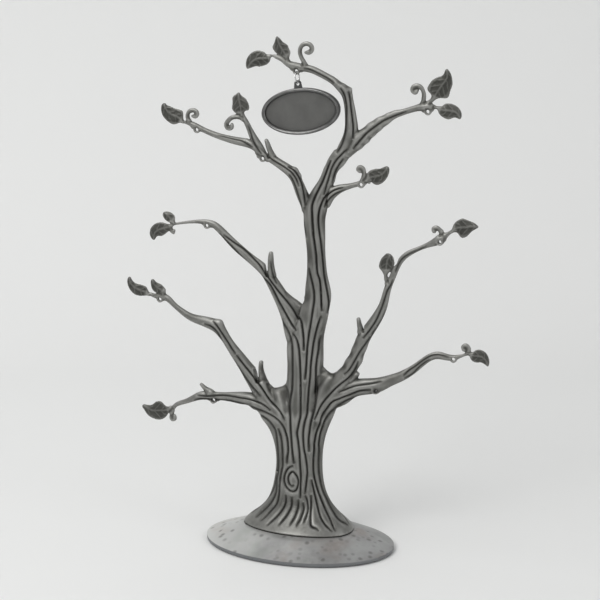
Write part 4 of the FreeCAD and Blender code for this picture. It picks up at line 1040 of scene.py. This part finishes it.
def make_base():
    """Domed oval base: a thin rim with a soft edge and painted shade on its side, the dome and the underside
    round the felt.
    """
    spokes = 240
    rings_up = 46
    edge_round = 0.5 * MM
    slope_from = dome_rise * (1.0 - slope_share ** 2) ** dome_power
    # Share out from the middle, height, and how much of the painted edge shade: the underside, then the rim.
    profile = [(0.90, 0.0, 0.0), (0.985, 0.0, 1.0), (0.995, 0.25 * edge_round, 1.0), (1.0, edge_round, 1.0),
               (1.0, dome_rim * 0.55, 1.0), (1.0, dome_rim * 0.86, 0.9), (0.997, dome_rim, 0.0)]
    for step in range(1, rings_up):
        share = math.cos(math.pi / 2 * step / rings_up)
        rise = dome_rise * (1.0 - share ** 2) ** dome_power
        if share > slope_share:
            rise = slope_from * (1.0 - share) / (1.0 - slope_share)
        profile.append((share, dome_rim + rise, 0.0))
    rings = [[(base_half * share * math.cos(turn), base_deep * share * math.sin(turn), base_low.z + rise)
              for turn in turns(spokes)] for share, rise, _ in profile]
    base = swept("oval_base", rings, closed_run=False)
    store(base.data, "edge_shade", [edge_shade for _, _, edge_shade in profile for _ in range(spokes)])
    smooth_by_angle(base, soft_crease)
    base.data.materials.append(base_metal())
    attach(base, "stand")
    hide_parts("base_plate")


# The ring and the frame hang leaning, as in the photograph.
lean = math.radians(6.5)
lean_down = Vector((math.sin(lean), 0.0, -math.cos(lean)))
lean_side = Vector((math.cos(lean), 0.0, math.sin(lean)))
ring_low, ring_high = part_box("jump_ring")
ring_centre = (ring_low + ring_high) / 2
wire_radius = 0.35 * MM
ring_radius = (ring_high.y - ring_low.y) / 2 - wire_radius
plate_low, plate_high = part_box("backing_plate")
plate_centre = (plate_low + plate_high) / 2
plate_centre.y = 0.0
frame_half_length = 21.5 * MM
frame_half_height = 12.1 * MM


def make_ring():
    """Bright jump ring of round wire with its fine slit, with painted shade on the wire's sides."""
    steps, around = 96, 20
    slit_half = 0.06 * MM / ring_radius
    side_shade, side_power = 0.85, 3
    rings = []
    for step in range(steps + 1):
        turn = slit_half + (2 * math.pi - 2 * slit_half) * step / steps
        out = Vector((0.0, math.cos(turn), 0.0)) - lean_down * math.sin(turn)
        middle = ring_centre + out * ring_radius
        rings.append([middle + (out * math.cos(angle) + lean_side * math.sin(angle)) * wire_radius
                      for angle in turns(around)])
    ring = swept("ring_of_wire", rings, closed_run=False)
    sides = [side_shade * abs(math.sin(angle)) ** side_power for angle in turns(around)]
    store(ring.data, "edge_shade", sides * (steps + 1))
    smooth_by_angle(ring, soft_crease)
    ring.data.materials.append(plain_metal("bright_wire"))
    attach(ring, "ring")
    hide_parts("jump_ring")


def oval_place(turn, inward, deep):
    """Place on the leaned oval: inward from its outer edge, deep from front to back."""
    across = math.cos(turn)
    rise = math.sin(turn)
    normal = Vector((across / frame_half_length, rise / frame_half_height)).normalized()
    local_x = frame_half_length * across - normal.x * inward
    local_z = frame_half_height * rise - normal.y * inward
    return plate_centre + lean_side * local_x - lean_down * local_z + Vector((0.0, deep, 0.0))


def outline_reach(outline, turn):
    """Distance from the middle of an outline to its edge along one direction."""
    slack = 1e-6
    parallel = 1e-12
    ray = Vector((math.cos(turn), math.sin(turn)))
    best = math.inf
    for a, b in zip(outline, outline[1:] + outline[:1]):
        a, b = Vector(a), Vector(b)
        step = b - a
        cross = ray.x * step.y - ray.y * step.x
        if abs(cross) < parallel:
            continue
        reach = (a.x * step.y - a.y * step.x) / cross
        share = (a.x * ray.y - a.y * ray.x) / cross
        if reach > 0 and -slack <= share <= 1 + slack:
            best = min(best, reach)
    return best


def make_tab():
    """Flat hanging tab with a round top, a bore for the ring and softened edges."""
    hole_above_rim = 2.2 * MM
    top_radius = 1.9 * MM
    foot_half, foot_drop = 2.3 * MM, 2.9 * MM
    bore = 1.0 * MM
    half = 0.75 * MM
    ease = 0.18 * MM
    arc_steps, around = 16, 48
    hole = plate_centre - lean_down * (hole_above_rim + frame_half_height)
    arc = [math.pi * step / arc_steps for step in range(arc_steps + 1)]
    outline = [(top_radius * math.cos(turn), top_radius * math.sin(turn)) for turn in arc]
    outline += [(-foot_half, -foot_drop), (foot_half, -foot_drop)]
    rings = []
    for deep, outer in ((half, False), (-half, False), (-half, True), (half, True)):
        ring = []
        for turn in turns(around):
            reach = outline_reach(outline, turn) - ease / 2 if outer else bore
            ring.append(hole + lean_side * (reach * math.cos(turn)) - lean_down * (reach * math.sin(turn))
                        + Vector((0.0, deep, 0.0)))
        rings.append(ring)
    tab = swept("hanging_tab", rings)
    bevel = tab.modifiers.new("soft_edges", "BEVEL")
    bevel.width = ease
    bevel.segments = 2
    bevel.limit_method = "ANGLE"
    smooth_by_angle(tab, sharp_crease)
    tab.data.materials.append(plain_metal("tab_metal_finish"))
    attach(tab, "hanging_frame")
    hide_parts("oval_frame")


# The rim's section: millimetres inward from the outer edge and from front to back, and 1 where painted shade
# darkens its outer edge and inner wall.
rim_section = [
    (0.05, 1.35, 1), (0.18, 1.65, 1), (0.5, 1.8, 0), (1.1, 1.8, 0), (1.1, -0.36, 1), (1.9, -0.36, 1),
    (1.9, -0.85, 1), (1.86, -1.02, 0), (1.74, -1.2, 0), (1.55, -1.42, 0), (1.3, -1.62, 0), (1.05, -1.75, 0),
    (0.8, -1.8, 0), (0.55, -1.76, 0), (0.32, -1.62, 0), (0.14, -1.4, 0), (0.04, -1.1, 1), (0.0, -0.8, 1),
    (0.0, 1.0, 1),
]


def make_frame():
    """Oval rim with a rounded bevel, and painted shade on its outer edge and inner wall."""
    spokes = 220
    rings = [[oval_place(turn, inward * MM, deep * MM) for turn in turns(spokes)]
             for inward, deep, _ in rim_section]
    rim = swept("oval_rim", rings)
    smooth_by_angle(rim, sharp_crease)
    store(rim.data, "edge_shade", [edge_shade for _, _, edge_shade in rim_section for _ in range(spokes)])
    rim.data.materials.append(plain_metal("frame_metal_finish"))
    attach(rim, "hanging_frame")
    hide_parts("oval_frame")


def make_plate():
    """Smooth dark plate behind the window, with painted shadow darkest at its edge."""
    spokes = 160
    half = 0.4 * MM
    inward = 1.2 * MM
    # Share out from the middle, depth, and how much painted shadow from the rim: the back, then the front.
    stations = [(0.02, half, 0.0), (1.0, half, 0.0), (1.0, -half, 1.0), (0.955, -half, 0.75),
                (0.90, -half, 0.2), (0.75, -half, 0.0), (0.4, -half, 0.0), (0.02, -half, 0.0)]
    rings = []
    for share, deep, _ in stations:
        middle = plate_centre + Vector((0.0, deep, 0.0))
        rings.append([middle + (oval_place(turn, inward, deep) - middle) * share for turn in turns(spokes)])
    plate = swept("window_plate", rings, closed_run=False)
    smooth_by_angle(plate, sharp_crease)
    store(plate.data, "edge_shade", [edge_shade for _, _, edge_shade in stations for _ in range(spokes)])
    plate.data.materials.append(plain_metal("plate_finish"))
    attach(plate, "hanging_frame")
    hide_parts("backing_plate")


def dress_hidden_pieces():
    """Felt under the base, and the zinc screws above it."""
    hidden = {"felt_pad": dull_stuff("dark_felt").material, "tree_screws": plain_metal("zinc_screw")}
    for node, material in hidden.items():
        frame["nodes"][node].data.materials.clear()
        frame["nodes"][node].data.materials.append(material)


def see_through_behind(finish):
    """Leave the front as it is and let the back be seen through."""
    facing = finish.nodes.new("ShaderNodeNewGeometry")
    clear = finish.nodes.new("ShaderNodeBsdfTransparent")
    either = finish.nodes.new("ShaderNodeMixShader")
    finish.links.new(facing.outputs["Backfacing"], either.inputs["Fac"])
    finish.links.new(finish.shader.outputs["BSDF"], either.inputs[1])
    finish.links.new(clear.outputs["BSDF"], either.inputs[2])
    finish.links.new(either.outputs["Shader"], finish.output.inputs["Surface"])


def make_stage():
    """Pale floor that sweeps up into a plain backdrop behind the tree."""
    reach_out = 3.0
    bend_from, bend_radius = 0.36, 0.30
    bend_steps = 24
    away = Vector((-back.x, -back.y, 0.0)).normalized()
    run = [(-reach_out, 0.0), (0.0, 0.0), (bend_from, 0.0)]
    for step in range(1, bend_steps + 1):
        turn = math.pi / 2 * step / bend_steps
        run.append((bend_from + bend_radius * math.sin(turn), bend_radius * (1 - math.cos(turn))))
    run.append((bend_from + bend_radius, reach_out))
    points = []
    for reach, rise in run:
        for side in (-reach_out, reach_out):
            spot = away * reach + right * side
            points.append((spot.x, spot.y, low.z + rise))
    faces = [(corner, corner + 1, corner + 3, corner + 2) for corner in range(0, len(points) - 2, 2)]
    mesh = bpy.data.meshes.new("backdrop")
    mesh.from_pydata(points, [], faces)
    mesh.update()
    mesh.polygons.foreach_set("use_smooth", [True] * len(mesh.polygons))
    backdrop = linked("backdrop", mesh)
    pale = dull_stuff("pale_backdrop")
    pale.shader.inputs["Specular IOR Level"].default_value = backdrop_shine
    see_through_behind(pale)
    backdrop.data.materials.append(pale.material)
    backdrop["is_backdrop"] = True


# Soft lamps: metres to the right, toward the camera and up from their target, size, watts and colour.
lamp_target = Vector((0.0, 0.0, 0.14))
lamps = {
    "key": (-0.75, 0.9, 0.75, (0.7, 0.7), 8.2, (1.0, 0.995, 0.985)),
    "fill": (0.95, 0.6, 0.25, (0.5, 0.9), 2.1, (0.99, 0.995, 1.0)),
    "top": (-0.55, 0.0, 1.1, (0.9, 0.9), 4.0, (1.0, 1.0, 1.0)),
}
world_colour = (0.97, 0.97, 0.97, 1.0)
world_strength = 0.49


def make_lights():
    """An even grey world and three soft lamps."""
    world = bpy.data.worlds.new("studio")
    bpy.context.scene.world = world
    world.use_nodes = True
    nodes = world.node_tree.nodes
    nodes.clear()
    output = nodes.new("ShaderNodeOutputWorld")
    glow = nodes.new("ShaderNodeBackground")
    glow.inputs["Color"].default_value = world_colour
    glow.inputs["Strength"].default_value = world_strength
    world.node_tree.links.new(glow.outputs["Background"], output.inputs["Surface"])
    for name, (aside, nearer, above, size, watts, colour) in lamps.items():
        data = bpy.data.lights.new(name, "AREA")
        data.shape = "RECTANGLE"
        data.size, data.size_y = size
        data.energy = watts
        data.color = colour
        lamp = linked(name, data)
        lamp.location = lamp_target + right * aside + back * nearer + Vector((0.0, 0.0, above))
        lamp.rotation_mode = "QUATERNION"
        lamp.rotation_quaternion = (lamp.location - lamp_target).to_track_quat("Z", "Y")


def make_camera():
    """The photograph's own camera."""
    data = bpy.data.cameras.new("photo_camera")
    data.sensor_width = sensor_mm
    data.lens = sensor_mm * focal_px / picture_px
    data.clip_start = near_clip
    data.clip_end = far_clip
    camera = linked("photo_camera", data)
    camera.matrix_world = Matrix((
        (right.x, up.x, back.x, eye_point.x), (right.y, up.y, back.y, eye_point.y),
        (right.z, up.z, back.z, eye_point.z), (0.0, 0.0, 0.0, 1.0)))
    bpy.context.scene.camera = camera


make_skin()
make_base()
make_ring()
make_frame()
make_tab()
make_plate()
dress_hidden_pieces()
make_stage()
make_lights()
make_camera()
bpy.context.scene.view_settings.view_transform = "Standard"

low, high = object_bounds()
